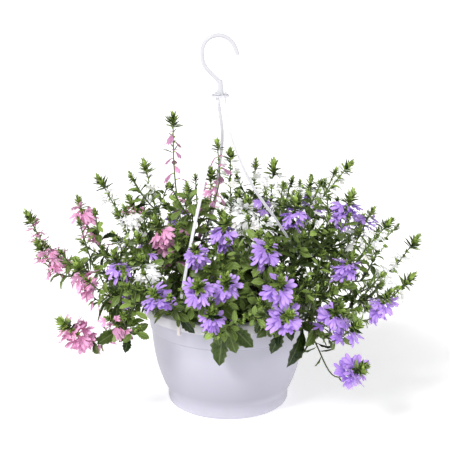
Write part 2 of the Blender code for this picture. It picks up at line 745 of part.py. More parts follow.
def grow_set_leaf(stem, part, forward, length):
    """A leaf set by hand: on the face of a bud that looks most its way."""
    bud = new_bud(stem, part * path_length(stem["path"]))
    if bud is None:
        print("no bud for a set leaf on", stem["name"])
        return
    outs = [bud_place(stem, bud, k)[1] for k in range(STEM_SIDES)]
    k = max(range(STEM_SIDES), key=lambda face: outs[face].dot(forward))
    outward = Vector((outs[k].x, outs[k].y, 0))
    for attempt in range(SET_TRIES):
        swing = Vector((rng.uniform(-1, 1), rng.uniform(-1, 0.4), rng.uniform(-0.5, 1))) * 0.04 * attempt
        size = length * (1 - 0.02 * attempt) * MM
        if grow_blade(stem, bud, k, forward + swing, UP + outward, "leaf", size):
            stem["buds"].append(bud)
            return
    print("no room for a set leaf on", stem["name"])


def grow_plants():
    """All stems first, then the leaves set by hand, the heads, the single flowers and the other leaves."""
    stems = {}
    for spray in SPRAYS:
        first = None
        for row in spray[2]:
            stem = grow_stem(spray, row, first)
            stem["rings"] = []
            first = first or stem
            stems[stem["name"]] = stem
    soil = [point for point in soil_profile() if point[0] > 0] + [(1, SOIL_TOP + 3)]
    keep(turned_shape(soil), "soil", "made")
    for name, part, forward, length in SET_LEAVES:
        grow_set_leaf(stems[name], part, Vector(forward), length)
    heads = [grow_head(number + 1, row, stems) for number, row in enumerate(HEADS)]
    for stem in stems.values():
        for number in range(stem["singles"]):
            below = (8 + SINGLE_SPACING * number + rng.uniform(0, 4)) * MM
            size = rng.uniform(0.55, 0.72)
            grow_on_bud(stem, path_length(stem["path"]) - below, 1, "single", size)
    for stem in stems.values():
        length = path_length(stem["path"])
        first = stem["radii"][0] >= STEM_RADIUS * MM
        distance = (26.0 if first else 20.0) * MM
        pair = 2 if first else 1
        while distance < length - 30 * MM:
            size = rng.uniform(44, 56) * (1 - 0.45 * distance / length) * MM
            grow_on_bud(stem, distance, pair, "leaf", size)
            pair = 1
            distance += LEAF_SPACING * rng.uniform(0.85, 1.15) * MM
    return stems, heads


# Making objects

def material(name, colour, roughness, metallic=0.0):
    made = bpy.data.materials.new(name)
    made.use_nodes = True
    shader = made.node_tree.nodes["Principled BSDF"]
    shader.inputs["Base Color"].default_value = colour
    shader.inputs["Roughness"].default_value = roughness
    shader.inputs["Metallic"].default_value = metallic
    return made


def mesh_object(name, shape, collection):
    points, faces = shape
    mesh = bpy.data.meshes.new(name)
    mesh.from_pydata([tuple(point) for point in points], [], faces)
    mesh.validate()
    made = bpy.data.objects.new(name, mesh)
    collection.objects.link(made)
    return made


def hidden_collection(name):
    collection = bpy.data.collections.new(name)
    bpy.context.scene.collection.children.link(collection)
    collection.hide_render = True
    return collection


def add_boolean(target, operation, operand, solver="EXACT"):
    boolean = target.modifiers.new(operation.lower(), "BOOLEAN")
    boolean.operation = operation
    boolean.solver = solver
    if isinstance(operand, bpy.types.Collection):
        boolean.operand_type = "COLLECTION"
        boolean.collection = operand
    else:
        boolean.object = operand
    return boolean


def apply_modifiers(target):
    """Replaces an object's mesh by what its modifiers make of it."""
    evaluated = target.evaluated_get(bpy.context.evaluated_depsgraph_get())
    result = bpy.data.meshes.new_from_object(evaluated)
    target.modifiers.clear()
    old = target.data
    target.data = result
    bpy.data.meshes.remove(old)


def turned_object(name, profile, collection):
    """A profile of radius and height in millimetres, turned by a Screw modifier."""
    mesh = bpy.data.meshes.new(name)
    points = [(radius * MM, 0, height * MM) for radius, height in profile]
    edges = [(k, k + 1) for k in range(len(points) - 1)]
    mesh.from_pydata(points, edges, [])
    made = bpy.data.objects.new(name, mesh)
    collection.objects.link(made)
    screw = made.modifiers.new("turn", "SCREW")
    screw.steps = TURN_STEPS
    screw.render_steps = TURN_STEPS
    screw.use_merge_vertices = True
    screw.merge_threshold = 0.00001
    screw.use_normal_calculate = True
    return made


# Pot, soil and hanger

def wall_radius(height):
    """Outside radius of the pot's wall, bowed a little, from the foot band to the crease."""
    low, high = BASE_RADIUS + 4.6, RIM_RADIUS - 15.7
    part = (height - FOOT_BAND) / (CREASE_HEIGHT - FOOT_BAND)
    return low + (high - low) * part + 7.5 * math.sin(math.pi * part * 0.9) * (1 - 0.25 * part)


def pot_profile():
    """Outline from the inside's middle, up the inner wall, over the rim and down the outside."""
    collar = RIM_RADIUS - 9.5
    flange = POT_HEIGHT - 3.6
    inside = [(0, WALL), (BASE_RADIUS - 6, WALL), (wall_radius(FOOT_BAND) - WALL, FOOT_BAND + WALL)]
    inside += [(wall_radius(height) - WALL, height) for height in (70, CREASE_HEIGHT)]
    rim = [(collar - 3, SOIL_TOP + 4), (collar - 1.4, POT_HEIGHT - 1), (RIM_RADIUS - 6, POT_HEIGHT),
           (RIM_RADIUS, POT_HEIGHT - 3), (RIM_RADIUS, SKIRT_BOTTOM),
           (RIM_RADIUS - 1.8, SKIRT_BOTTOM), (RIM_RADIUS - 2.2, flange), (collar + 1.2, flange)]
    outside = [(RIM_RADIUS - 11.8, CREASE_HEIGHT + 1.2)]
    outside += [(wall_radius(height), height) for height in (CREASE_HEIGHT - 0.8, 90, 56, FOOT_BAND + 3)]
    foot = [(BASE_RADIUS + 2.2, FOOT_BAND), (BASE_RADIUS + 3.2, 12), (BASE_RADIUS + 3.4, 6),
            (BASE_RADIUS + 2, 2), (BASE_RADIUS - 1.5, 0), (0, 0)]
    return inside, rim, outside, foot


def pot_lines():
    inside, rim, outside, foot = pot_profile()
    return inside + rim + outside + foot


def soil_profile():
    """The soil fills the pot up to its top, a small gap inside the wall."""
    inside = pot_profile()[0]
    gap = FIT_GAP
    walls = [(radius - gap, height) for radius, height in inside[2:]]
    floor = WALL + gap
    bottom = (inside[1][0] - gap, floor)
    top = (wall_radius(CREASE_HEIGHT) - WALL + 2.2 - gap, SOIL_TOP)
    return [(0, floor), bottom] + walls + [top, (0, SOIL_TOP + 3)]


def make_soil(collection, cutters):
    """The soil, with a plain hole for each spray's root."""
    soil = turned_object("potting_soil", list(reversed(soil_profile())), collection)
    for name, root, stems in SPRAYS:
        bpy.ops.mesh.primitive_cylinder_add(vertices=4, radius=HOLE_RADIUS * MM, depth=2 * ROOT_DEPTH * MM,
                                            location=(root[0] * MM, root[1] * MM, SOIL_TOP * MM))
        move_to(bpy.context.object, cutters, f"hole_{name}")
    add_boolean(soil, "DIFFERENCE", cutters)
    apply_modifiers(soil)
    return soil


def move_to(piece, collection, name):
    """Names a new piece and links it to this collection only."""
    for holder in list(piece.users_collection):
        holder.objects.unlink(piece)
    collection.objects.link(piece)
    piece.name = name
    piece.data.name = name
    if collection.hide_render:
        piece.display_type = "WIRE"
    return piece


def make_hook(collection, cutters):
    """Bent rod with a shank and a plate, cut with a slot for each strap."""
    curve = bpy.data.curves.new("hanger_hook", "CURVE")
    curve.dimensions = "3D"
    curve.bevel_depth = HOOK_WIRE * MM
    curve.bevel_resolution = 1
    curve.use_fill_caps = True
    line = curve.splines.new("POLY")
    line.points.add(len(HOOK_POINTS) - 1)
    for point, (x, z) in zip(line.points, HOOK_POINTS):
        point.co = (x * MM, 0, z * MM, 1)
    rod = bpy.data.objects.new("rod", curve)
    collection.objects.link(rod)
    mesh = bpy.data.meshes.new_from_object(rod.evaluated_get(bpy.context.evaluated_depsgraph_get()))
    clean = bmesh.new()
    clean.from_mesh(mesh)
    bmesh.ops.remove_doubles(clean, verts=clean.verts, dist=0.00001)
    clean.to_mesh(mesh)
    clean.free()
    bpy.data.objects.remove(rod)
    hook = bpy.data.objects.new("hanger_hook", mesh)
    collection.objects.link(hook)
    joined = hidden_collection("hook_parts")
    bpy.ops.mesh.primitive_cylinder_add(vertices=20, radius=PLATE_RADIUS * MM, depth=PLATE_THICK * MM,
                                        location=(HUB_X * MM, 0, (HUB_Z + PLATE_THICK / 2) * MM))
    move_to(bpy.context.object, joined, "plate")
    bpy.ops.mesh.primitive_cone_add(vertices=12, radius1=5.4 * MM, radius2=3.6 * MM, depth=24 * MM,
                                    location=(HUB_X * MM, 0, (HUB_Z + 13.5) * MM))
    move_to(bpy.context.object, joined, "shank")
    add_boolean(hook, "UNION", joined)
    for degrees in STRAP_TURNS:
        turn = math.radians(degrees)
        bpy.ops.mesh.primitive_cube_add(size=1, rotation=(0, 0, turn), location=(
            HUB_X * MM + SLOT_RADIUS * MM * math.cos(turn), SLOT_RADIUS * MM * math.sin(turn), HUB_Z * MM))
        slot = move_to(bpy.context.object, cutters, f"slot_{round(degrees)}")
        wide, long = STRAP_THICK + 2 * FIT_GAP, STRAP_WIDTH + 2 * FIT_GAP
        slot.scale = (wide * MM, long * MM, 4 * PLATE_THICK * MM)
    add_boolean(hook, "DIFFERENCE", cutters)
    bpy.context.view_layer.update()
    apply_modifiers(hook)
    empty_collection(joined)
    return hook


def make_strap(number, degrees, collection):
    """Strap with its head above the plate and its catch under the rim's skirt."""
    name = f"hanger_strap_{number}"
    path, outward = strap_path(degrees)
    strap = mesh_object(name, strap_strip(degrees), collection)
    joined = hidden_collection(f"{name}_parts")
    turn = math.atan2(outward.y, outward.x)
    bpy.ops.mesh.primitive_cube_add(size=1, rotation=(0, 0, turn),
                                    location=path[0] + UP * 0.45 * MM)
    head = move_to(bpy.context.object, joined, "head")
    head.scale = (3.4 * MM, 9 * MM, 2.2 * MM)
    catch_middle = path[-1] + UP * 1.6 * MM - outward * 2.6 * MM
    bpy.ops.mesh.primitive_cube_add(size=1, rotation=(0, 0, turn), location=catch_middle)
    catch = move_to(bpy.context.object, joined, "catch")
    catch.scale = (5.6 * MM, 4.2 * MM, 2.2 * MM)
    add_boolean(strap, "UNION", joined)
    bpy.context.view_layer.update()
    apply_modifiers(strap)
    empty_collection(joined)
    return strap


def empty_collection(collection):
    """Removes a collection with the pieces in it."""
    for piece in list(collection.objects):
        bpy.data.objects.remove(piece)
    bpy.data.collections.remove(collection)


# Plants

def make_spray(name, stems, collection):
    """One leafy stem: its first stem with every branch joined to it."""
    own = [stem for stem in stems.values() if stem["spray"] == name]
    spray = mesh_object(f"spray_{name}", stem_shape(own[0]), collection)
    if len(own) > 1:
        joined = hidden_collection(f"{name}_parts")
        for stem in own[1:]:
            mesh_object(f"{name}_{stem['name']}", stem_shape(stem), joined)
        add_boolean(spray, "UNION", joined, "MANIFOLD")
        apply_modifiers(spray)
        empty_collection(joined)
    return spray


def make_plants(collection):
    """Keeps the pot and straps as obstacles, grows every plant and makes its objects."""
    keep(turned_shape([point for point in pot_lines() if point[0] > 0]), "pot", "made")
    for degrees in STRAP_TURNS:
        keep(strap_strip(degrees), f"strap_{degrees}", "made")
    stems, heads = grow_plants()
    green = material("foliage", (0.13, 0.26, 0.04, 1), 0.55)
    made = []
    for name, root, rows in SPRAYS:
        made.append((make_spray(name, stems, collection), green))
    petals = {colour: material(f"petals_{colour}", value, 0.6) for colour, value in COLOURS.items()}
    for head in heads:
        petal_head = mesh_object(head["name"], head_shape(head), collection)
        made.append((petal_head, petals[head["colour"]]))
    for piece, look in made:
        piece.data.materials.clear()
        piece.data.materials.append(look.copy())
    print("flowers", sum(len(head["flowers"]) for head in heads), "of", sum(row[3] for row in HEADS))
    buds = [bud for stem in stems.values() for bud in stem["buds"]]
    kinds = [blade["kind"] for bud in buds for blade in bud["blades"].values()]
    print("leaves", kinds.count("leaf"), "singles", kinds.count("single"))


def main():
    for old in list(bpy.data.objects):
        bpy.data.objects.remove(old)
    scene = bpy.context.scene
    scene.unit_settings.system = "METRIC"
    scene.unit_settings.scale_length = 1.0
    parts = bpy.data.collections.new("potted_fan_flower")
    scene.collection.children.link(parts)
    hole_cutters = hidden_collection("hole_cutters")
    slot_cutters = hidden_collection("slot_cutters")
    pot = turned_object("pot", list(reversed(pot_lines())), parts)
    pot.data.materials.append(material("pot_plastic", (0.74, 0.73, 0.79, 1), 0.4))
    soil = make_soil(parts, hole_cutters)
    soil.data.materials.append(material("potting_soil", (0.05, 0.035, 0.025, 1), 0.95))
    hook = make_hook(parts, slot_cutters)
    hook.data.materials.append(material("hook_plastic", (0.88, 0.88, 0.90, 1), 0.35))
    for number, degrees in enumerate(STRAP_TURNS):
        strap = make_strap(number + 1, degrees, parts)
        strap.data.materials.append(material(f"strap_plastic_{number + 1}", (0.86, 0.86, 0.89, 1), 0.35))
    make_plants(parts)
    for cutters in (hole_cutters, slot_cutters):
        empty_collection(cutters)
    total = 0
    for piece in parts.objects:
        mesh = piece.evaluated_get(bpy.context.evaluated_depsgraph_get()).to_mesh()
        mesh.calc_loop_triangles()
        total += len(mesh.loop_triangles)
        print(piece.name, len(mesh.loop_triangles))
    print("triangles in all", total)


main()
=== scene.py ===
# %% [markdown]
# # A hanging pot of fan flowers
# This lesson dresses a finished CAD model: a white pot with soil and a three-strap hanger, and a plant whose
# flowers look like small open hands in purple, pink and white. Each finer piece is made in the CAD model's
# frame, so it stands exactly where its plain body stands.

import json
import math
import random

import bmesh
import bpy
from mathutils import Matrix, Vector
from mathutils.bvhtree import BVHTree

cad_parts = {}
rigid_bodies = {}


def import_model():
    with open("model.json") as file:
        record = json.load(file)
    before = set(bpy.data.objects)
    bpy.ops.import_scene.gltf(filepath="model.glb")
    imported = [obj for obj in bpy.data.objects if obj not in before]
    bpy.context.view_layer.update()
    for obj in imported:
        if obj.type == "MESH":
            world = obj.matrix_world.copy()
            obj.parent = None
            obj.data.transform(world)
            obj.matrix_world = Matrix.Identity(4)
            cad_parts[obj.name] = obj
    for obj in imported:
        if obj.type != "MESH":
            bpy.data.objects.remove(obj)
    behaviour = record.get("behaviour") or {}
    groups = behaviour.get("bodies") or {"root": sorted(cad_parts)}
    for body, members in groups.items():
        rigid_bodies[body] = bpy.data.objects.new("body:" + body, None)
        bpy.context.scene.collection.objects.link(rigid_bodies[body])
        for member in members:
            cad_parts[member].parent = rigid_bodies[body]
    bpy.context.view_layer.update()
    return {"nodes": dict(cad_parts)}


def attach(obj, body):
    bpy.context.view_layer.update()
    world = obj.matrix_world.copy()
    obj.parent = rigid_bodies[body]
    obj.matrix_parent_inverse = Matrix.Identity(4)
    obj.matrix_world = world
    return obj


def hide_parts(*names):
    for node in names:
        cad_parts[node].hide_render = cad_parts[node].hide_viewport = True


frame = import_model()
print("CAD nodes:", len(frame["nodes"]))

MM = 0.001
UP = Vector((0, 0, 1))
scene = bpy.context.scene

# %% [markdown]
# ## Camera, light and floor
# The photograph looks slightly down on the pot. Its camera was found from the pot's rim, lip and foot: 1.8 m
# in front, 0.78 m up, and 15 degrees down. A long lens keeps the leaves at the sides upright.
# One sun from the upper left models the pot's round wall, a weaker one draws a light edge down its right
# side, and a pale world fills every shadow. The floor glows a little, like the white paper of a light table.

# %% Camera, light and floor
CAMERA_PLACE = (-0.0049, -1.8, 0.777)
CAMERA_DOWN = 15.29
CAMERA_LENS = 96.4


def add_camera():
    lens = bpy.data.cameras.new("camera")
    lens.lens = CAMERA_LENS
    lens.sensor_width = 36
    lens.clip_end = 60
    camera = bpy.data.objects.new("camera", lens)
    camera.location = CAMERA_PLACE
    camera.rotation_euler = (math.radians(90 - CAMERA_DOWN), 0, 0)
    scene.collection.objects.link(camera)
    scene.camera = camera


def add_sun(name, strength, softness, tilt, turn):
    lamp = bpy.data.lights.new(name, "SUN")
    lamp.energy = strength
    lamp.angle = math.radians(softness)
    sun = bpy.data.objects.new(name, lamp)
    sun.rotation_euler = (math.radians(tilt), 0, math.radians(turn))
    scene.collection.objects.link(sun)


def add_world(strength):
    world = bpy.data.worlds.new("pale_room")
    world.use_nodes = True
    world.node_tree.nodes["Background"].inputs["Color"].default_value = (1, 1, 1, 1)
    world.node_tree.nodes["Background"].inputs["Strength"].default_value = strength
    scene.world = world


add_camera()
add_sun("window_left", 2.45, 20, 48, -44)
add_sun("window_right", 0.95, 36, 64, 74)
add_world(0.37)
scene.view_settings.view_transform = "Standard"
print("camera at:", CAMERA_PLACE, "lens:", CAMERA_LENS, "mm")

# %% [markdown]
# ## Shader maths as Python
# A procedural material is arithmetic on a few fields, such as a noise or a distance along a leaf. Written as
# nodes it soon hides its meaning, so a small class wraps a socket and lets Python's own operators add the
# Math nodes. Every other node comes from one method, which sets the node up before it links anything.

# %% Wires and finishes


def find_socket(sockets, label):
    """A socket by its number, or by the name that it shows under the node's present settings."""
    if isinstance(label, int):
        return sockets[label]
    return next(socket for socket in sockets if socket.enabled and socket.name == label)


def add_node(book, kind, settings, values):
    """Adds a node: its settings first, then a value or a link for each named socket."""
    made = book.nodes.new(kind)
    for label, value in (settings or {}).items():
        setattr(made, label, value)
    for label, value in (values or {}).items():
        book.feed(find_socket(made.inputs, label), value)
    return made


class Wire:
    """One output of a shader node, with operators that add Math nodes."""

    def __init__(self, finish, socket):
        self.finish = finish
        self.socket = socket

    def maths(self, operation, other=None):
        values = [self] if other is None else [self, other]
        return self.finish.node("ShaderNodeMath", {"operation": operation}, dict(enumerate(values)))

    def __add__(self, other):
        return self.maths("ADD", other)

    def __sub__(self, other):
        return self.maths("SUBTRACT", other)

    def __rsub__(self, other):
        return self.finish.node("ShaderNodeMath", {"operation": "SUBTRACT"}, {0: other, 1: self})

    def __mul__(self, other):
        return self.maths("MULTIPLY", other)

    def __abs__(self):
        return self.maths("ABSOLUTE")

    __radd__ = __add__
    __rmul__ = __mul__


class Finish:
    """A material under construction."""

    def __init__(self, name, roughness=0.5, **constants):
        self.material = bpy.data.materials.new(name)
        self.material.use_nodes = True
        self.nodes = self.material.node_tree.nodes
        self.links = self.material.node_tree.links
        self.shader = self.nodes["Principled BSDF"]
        self.shader.inputs["Roughness"].default_value = roughness
        for label, value in constants.items():
            self.shader.inputs[label.replace("_", " ")].default_value = value

    def node(self, kind, settings=None, values=None, out=0):
        return Wire(self, find_socket(add_node(self, kind, settings, values).outputs, out))

    def feed(self, socket, value):
        if isinstance(value, Wire):
            self.links.new(value.socket, socket)
        else:
            socket.default_value = value

    def spots(self):
        """The piece's own place in its frame, in metres."""
        return self.node("ShaderNodeTexCoord", out="Object")

    def axis(self, vector, letter):
        return self.node("ShaderNodeSeparateXYZ", values={"Vector": vector}, out=letter)

    def noise(self, scale, detail=2.0):
        values = {"Vector": self.spots(), "Scale": scale, "Detail": detail}
        return self.node("ShaderNodeTexNoise", values=values, out="Fac")

    def attribute(self, name, out="Fac"):
        return self.node("ShaderNodeAttribute", {"attribute_name": name}, out=out)

    def limits(self, value, low, high):
        """Stretches what lies between low and high to 0 and 1."""
        values = {"Value": value, "From Min": low, "From Max": high}
        return self.node("ShaderNodeMapRange", {"clamp": True}, values)

    def mix(self, part, first, second):
        """A colour between two colours."""
        values = {"Factor": part, "A": first, "B": second}
        return self.node("ShaderNodeMix", {"data_type": "RGBA"}, values, out="Result")

    def bump(self, height, distance, strength):
        values = {"Height": height, "Distance": distance, "Strength": strength}
        self.feed(self.shader.inputs["Normal"], self.node("ShaderNodeBump", values=values))

    def paint(self, colour, roughness=None):
        self.feed(self.shader.inputs["Base Color"], colour)
        if roughness is not None:
            self.feed(self.shader.inputs["Roughness"], roughness)
        return self.material


# %% [markdown]
# The floor's paper is the first finish, nearly white with a faint grain.

# %% The floor


def pale_floor():
    finish = Finish("pale_floor", 0.9, Emission_Color=(1, 1, 1, 1), Emission_Strength=0.37)
    grain = finish.noise(30.0)
    return finish.paint(finish.mix(grain, (0.965, 0.965, 0.97, 1), (0.98, 0.98, 0.98, 1)))


bpy.ops.mesh.primitive_plane_add(size=60)
floor = bpy.context.object
floor.name = "floor"
floor.location.z = -0.0004
floor.data.materials.append(pale_floor())
print("nodes in the floor's finish:", len(floor.active_material.node_tree.nodes))

# %% [markdown]
# ## Plastic of the pot and the hanger
# The pot is white moulded plastic with a lavender cast and a satin skin: broad soft highlights, a faint flow
# mottle, and a little dust towards the foot. Its colour also holds painted shade on the lower wall above the
# foot, a painted shadow line under the crease and a painted highlight on the rim's lip. The hanger is harder,
# glossier and almost clear. A faint glow painted on it stands in for the light that its thin straps let
# through, its thick hook is greyer so that this glow doesn't wash it out, and its catches have yellowed where
# they grip the rim.

# %% Plastics
# Heights in metres, from where each change begins to where it is full
DUST = (0.05, 0.0)
# Painted shade on the lower wall above the foot, fading out upwards and towards the foot
SHADED_WAIST_FROM_ABOVE = (0.10, 0.034)
SHADED_WAIST_FROM_BELOW = (0.006, 0.034)
# Painted shadow line under the crease
CREASE_LINE = 0.1243
# Painted highlight on the rim's lip and skirt
LIT_LIP = (0.150, 0.153)
YELLOWED_CATCH = (0.172, 0.164)
GREY_HOOK = (0.484, 0.49)


def pot_plastic():
    finish = Finish("pot_plastic", 0.38, IOR=1.46)
    flow = finish.noise(22.0, 3.0)
    fine = finish.noise(900.0, 2.0)
    height = finish.axis(finish.spots(), "Z")
    dust = finish.limits(height, *DUST) * finish.limits(finish.noise(70.0, 4.0), 0.42, 0.75)
    clean = finish.mix(flow, (0.53, 0.52, 0.615, 1), (0.575, 0.565, 0.655, 1))
    # Painted shade: the lower wall above the foot is darkened, as in shadow
    waist_shade = finish.limits(height, *SHADED_WAIST_FROM_ABOVE) * finish.limits(height, *SHADED_WAIST_FROM_BELOW)
    waist_shaded = finish.mix(waist_shade * 0.8, clean, (0.37, 0.36, 0.43, 1))
    # Painted highlight: the rim's lip and skirt are paler, as where light falls on them
    lit_lip = finish.mix(finish.limits(height, *LIT_LIP) * 0.7, waist_shaded, (0.76, 0.75, 0.79, 1))
    # Painted shadow: a dark line along the crease, like the shadow its small step would cast
    crease = abs(height - CREASE_LINE)
    crease_shadowed = finish.mix(finish.limits(crease, 0.0016, 0.0004) * 0.55, lit_lip, (0.30, 0.29, 0.38, 1))
    colour = finish.mix(dust * 0.3, crease_shadowed, (0.47, 0.44, 0.42, 1))
    finish.bump(fine * 0.4 + flow, 0.0002, 0.25)
    return finish.paint(colour, 0.33 + flow * 0.12 + dust * 0.3)


def hanger_plastic():
    # Painted light: a faint glow on the whole hanger stands in for the light that comes through its thin
    # straps
    finish = Finish("hanger_plastic", 0.22, IOR=1.49,
                    Emission_Color=(0.95, 0.95, 1, 1), Emission_Strength=0.07)
    flow = finish.noise(60.0, 3.0)
    scuffs = finish.limits(finish.noise(420.0, 3.0), 0.55, 0.8)
    height = finish.axis(finish.spots(), "Z")
    pale = finish.mix(flow, (0.74, 0.74, 0.79, 1), (0.83, 0.83, 0.86, 1))
    # The hook above the plate is greyer, so that the painted glow doesn't wash it out
    thick = finish.mix(finish.limits(height, *GREY_HOOK), pale, (0.61, 0.61, 0.65, 1))
    yellowed = finish.limits(height, *YELLOWED_CATCH) * 0.45
    colour = finish.mix(yellowed, thick, (0.74, 0.60, 0.47, 1))
    finish.bump(flow, 0.0002, 0.2)
    return finish.paint(colour, 0.2 + scuffs * 0.2)


POT_PLASTIC = pot_plastic()
HANGER_PLASTIC = hanger_plastic()
print("nodes in the pot's finish:", len(POT_PLASTIC.node_tree.nodes))

# %% [markdown]
# ## Soil
# Potting soil is a dark, fibrous peat with paler crumbs of bark. Two noises at different scales give the
# patches and the crumbs, and each loose crumb later carries a number of its own that shifts its colour.

# %% Soil finish


def soil_finish(name, crumb):
    finish = Finish(name, 0.95)
    patch = finish.noise(55.0, 4.0)
    grain = finish.noise(620.0, 3.0)
    dark = finish.mix(patch, (0.018, 0.011, 0.007, 1), (0.055, 0.034, 0.020, 1))
    shade = finish.attribute("shade") if crumb else grain
    colour = finish.mix(finish.limits(shade, 0.45, 1.0), dark, (0.16, 0.095, 0.05, 1))
    finish.bump(grain, 0.0012, 0.8)
    return finish.paint(colour)


SOIL = soil_finish("potting_soil", False)
CRUMBS = soil_finish("soil_crumbs", True)
print("nodes in the soil's finish:", len(SOIL.node_tree.nodes))

# %% [markdown]
# ## Leaves, stems and petals
# Every leaf, bract and petal carries two attributes: `spot`, how far along and across the blade a point lies,
# and `shade`, one number for each blade. `spot` gives the pale midrib, the side veins and the petal's light
# throat. `shade` sets one leaf off from the next, which makes a plant look grown. On the leaves that fill the
# plant it is also lower near the foot of each stem, which paints shade on the plant's inside.

# %% Plant finishes


def spot_fields(finish):
    """How far along the blade, and how far from its midline, a point is."""
    spot = finish.attribute("spot", "Vector")
    return finish.axis(spot, "X"), abs(finish.axis(spot, "Y"))


def leaf_finish(name, deep, fresh, pale):
    finish = Finish(name, 0.42, IOR=1.45, Specular_IOR_Level=0.3)
    along, across = spot_fields(finish)
    shade = finish.attribute("shade")
    cloud = finish.noise(260.0, 3.0)
    lines = (along * 9.0 - across * 1.9).maths("FRACT")
    ribs = finish.limits(abs(0.5 - lines), 0.06, 0.0) * finish.limits(across, 0.95, 0.5)
    midrib = finish.limits(across, 0.14, 0.02)
    # A blade's shade number sets its tone at random, and on low leaves inside the plant it paints their shade
    green = finish.mix(shade * 1.1 + cloud * 0.3 - 0.2, deep, fresh)
    edge = finish.limits(across, 0.75, 1.0) * 0.45
    veins = (midrib * 0.45).maths("MAXIMUM", ribs * 0.25)
    marks = veins.maths("MAXIMUM", edge)
    finish.bump(cloud * 0.3 - veins, 0.0005, 0.5)
    return finish.paint(finish.mix(marks * (0.15 + shade), green, pale), 0.28 + cloud * 0.22)


def stem_finish():
    finish = Finish("stem_green", 0.5)
    cloud = finish.noise(160.0, 3.0)
    old = finish.limits(finish.axis(finish.spots(), "Z"), 0.24, 0.15)
    green = finish.mix(cloud, (0.045, 0.075, 0.018, 1), (0.16, 0.24, 0.06, 1))
    finish.bump(finish.noise(900.0), 0.0003, 0.4)
    return finish.paint(finish.mix(old * 0.6, green, (0.07, 0.055, 0.03, 1)))


def petal_finish(name, body, rim, throat, dusk, painted_glow=0.0):
    """Petals: pale at the throat, painted shade at the palm and lobe edges, lighter to the tips, duller when
    old.
    """
    # Painted light: a small glow in the petals' own colour stands in for the light that comes through them;
    # only the white ones have it
    finish = Finish(name, 0.55, Sheen_Weight=0.25, Sheen_Roughness=0.5,
                    Emission_Color=body, Emission_Strength=painted_glow)
    along, across = spot_fields(finish)
    shade = finish.attribute("shade")
    cloud = finish.noise(420.0, 3.0)
    streak = finish.noise(1300.0, 2.0)
    # Painted shade: darker at the palm and along each lobe's edges, for the shadow between overlapping lobes,
    # in the `rim` colour
    painted_lobe_shade = finish.limits(along, 0.7, 0.15) * 0.7 + finish.limits(across, 0.62, 0.95) * 0.5
    fresh = finish.mix(painted_lobe_shade + cloud * 0.25 + streak * 0.25 - 0.22, body, rim)
    aged = finish.mix(finish.limits(shade, 0.72, 1.0) * 0.75, fresh, dusk)
    midline = finish.limits(across, 0.25, 0.0) * finish.limits(along, 0.8, 0.2) * 0.25
    mouth = finish.limits(along, 0.12, 0.02) * 0.8
    finish.bump(streak * 0.6 + finish.limits(across, 0.25, 0.0), 0.0004, 0.4)
    return finish.paint(finish.mix(midline.maths("MAXIMUM", mouth), aged, throat))


STEM = stem_finish()
LEAF = leaf_finish("leaf_green", (0.006, 0.020, 0.001, 1), (0.33, 0.49, 0.09, 1), (0.66, 0.76, 0.42, 1))
BRACT = leaf_finish("bract_green", (0.009, 0.032, 0.001, 1), (0.42, 0.61, 0.10, 1), (0.84, 0.91, 0.52, 1))
# Each colour: body, painted shade between the lobes, throat, and the dull colour of old petals
PETALS = {
    "purple": petal_finish("petals_purple", (0.62, 0.39, 0.97, 1), (0.34, 0.15, 0.72, 1),
                           (0.86, 0.80, 0.94, 1), (0.34, 0.17, 0.62, 1)),
    "pink": petal_finish("petals_pink", (0.94, 0.50, 0.78, 1), (0.76, 0.22, 0.48, 1),
                         (0.97, 0.84, 0.88, 1), (0.41, 0.17, 0.32, 1)),
    "white": petal_finish("petals_white", (0.98, 0.98, 0.98, 1), (0.82, 0.83, 0.86, 1),
                          (0.95, 0.95, 0.74, 1), (0.86, 0.82, 0.74, 1), painted_glow=0.17),
}
COLOURS = tuple(PETALS)
PETAL_FINISHES = {f"{colour} finish": finish for colour, finish in PETALS.items()}
print("finishes made:", len(bpy.data.materials))

# %% [markdown]
# ## Sizes that the CAD model was made from
# These are the CAD source's own sizes and tables, in millimetres. With the same numbers, seed and order of
# random draws, the rules further down find the same place for every stem, leaf and flower, so the finer
# shapes land on the plain ones.

# %% Sizes of the pot and the hanger

RIM_RADIUS = 135.0
POT_HEIGHT = 170.0
SKIRT_BOTTOM = 151.7
CREASE_HEIGHT = 124.6
BASE_RADIUS = 92.0
FOOT_BAND = 19.0
WALL = 2.2
TURN_STEPS = 36
FIT_GAP = 0.35

# Soil
SOIL_TOP = 150.0
ROOT_DEPTH = 10.0

# Hanger
HUB_X = -12.0
HUB_Z = 485.0
PLATE_RADIUS = 14.0
PLATE_THICK = 3.0
SLOT_RADIUS = 8.0
STRAP_WIDTH = 5.0
STRAP_THICK = 1.6
HOOK_WIRE = 3.0

# Hook's middle line, X and height, from its open tip over the crown and down the shank
HOOK_POINTS = (
    (14, 548), (11, 557), (7, 565), (0, 572), (-10, 576.5), (-21, 576), (-31, 570.5), (-37.5, 560),
    (-39, 546), (-36.5, 534), (-29, 523.5), (-20.5, 515), (-14, 507), (-12, 498), (-12, 487))

# Straps: direction from the plate in degrees, then how far each bows aside on its way down
# and how many degrees its flat side turns there
STRAP_BOWS = {
    237.1: ((2, -4, 0), (1, -9, 0), (-1, -9, 0), (-1, -5, 0)),
    115.6: ((15, 2, 0), (18, 6, 0), (19, 8, 0), (10, 6, 0)),
    355.6: ((-17, 0, 0), (-19, -2, 0), (-6, -2, 0), (3, -1, 0)),
}
STRAP_TWISTS = {237.1: (0, 0, 0, 0), 115.6: (0, 10, 10, 0), 355.6: (-35, -62, -50, -20)}
STRAP_TURNS = tuple(STRAP_BOWS)
print("pot:", 2 * RIM_RADIUS, "mm across,", POT_HEIGHT, "mm high")

# %% [markdown]
# ## The sprays and their stems
# Three varieties of one species grow through each other. Each row is a spray that roots at one point. Its
# tufts' places are read off the photograph, and guessed at the back, which the photograph doesn't show.

# %% Sprays and their stems
SEED = 11

STEM_SIDES = 3
STEM_RADIUS = 1.35
TIP_RADIUS = 1.1
NECK = 30.0
CLEAR = 0.4

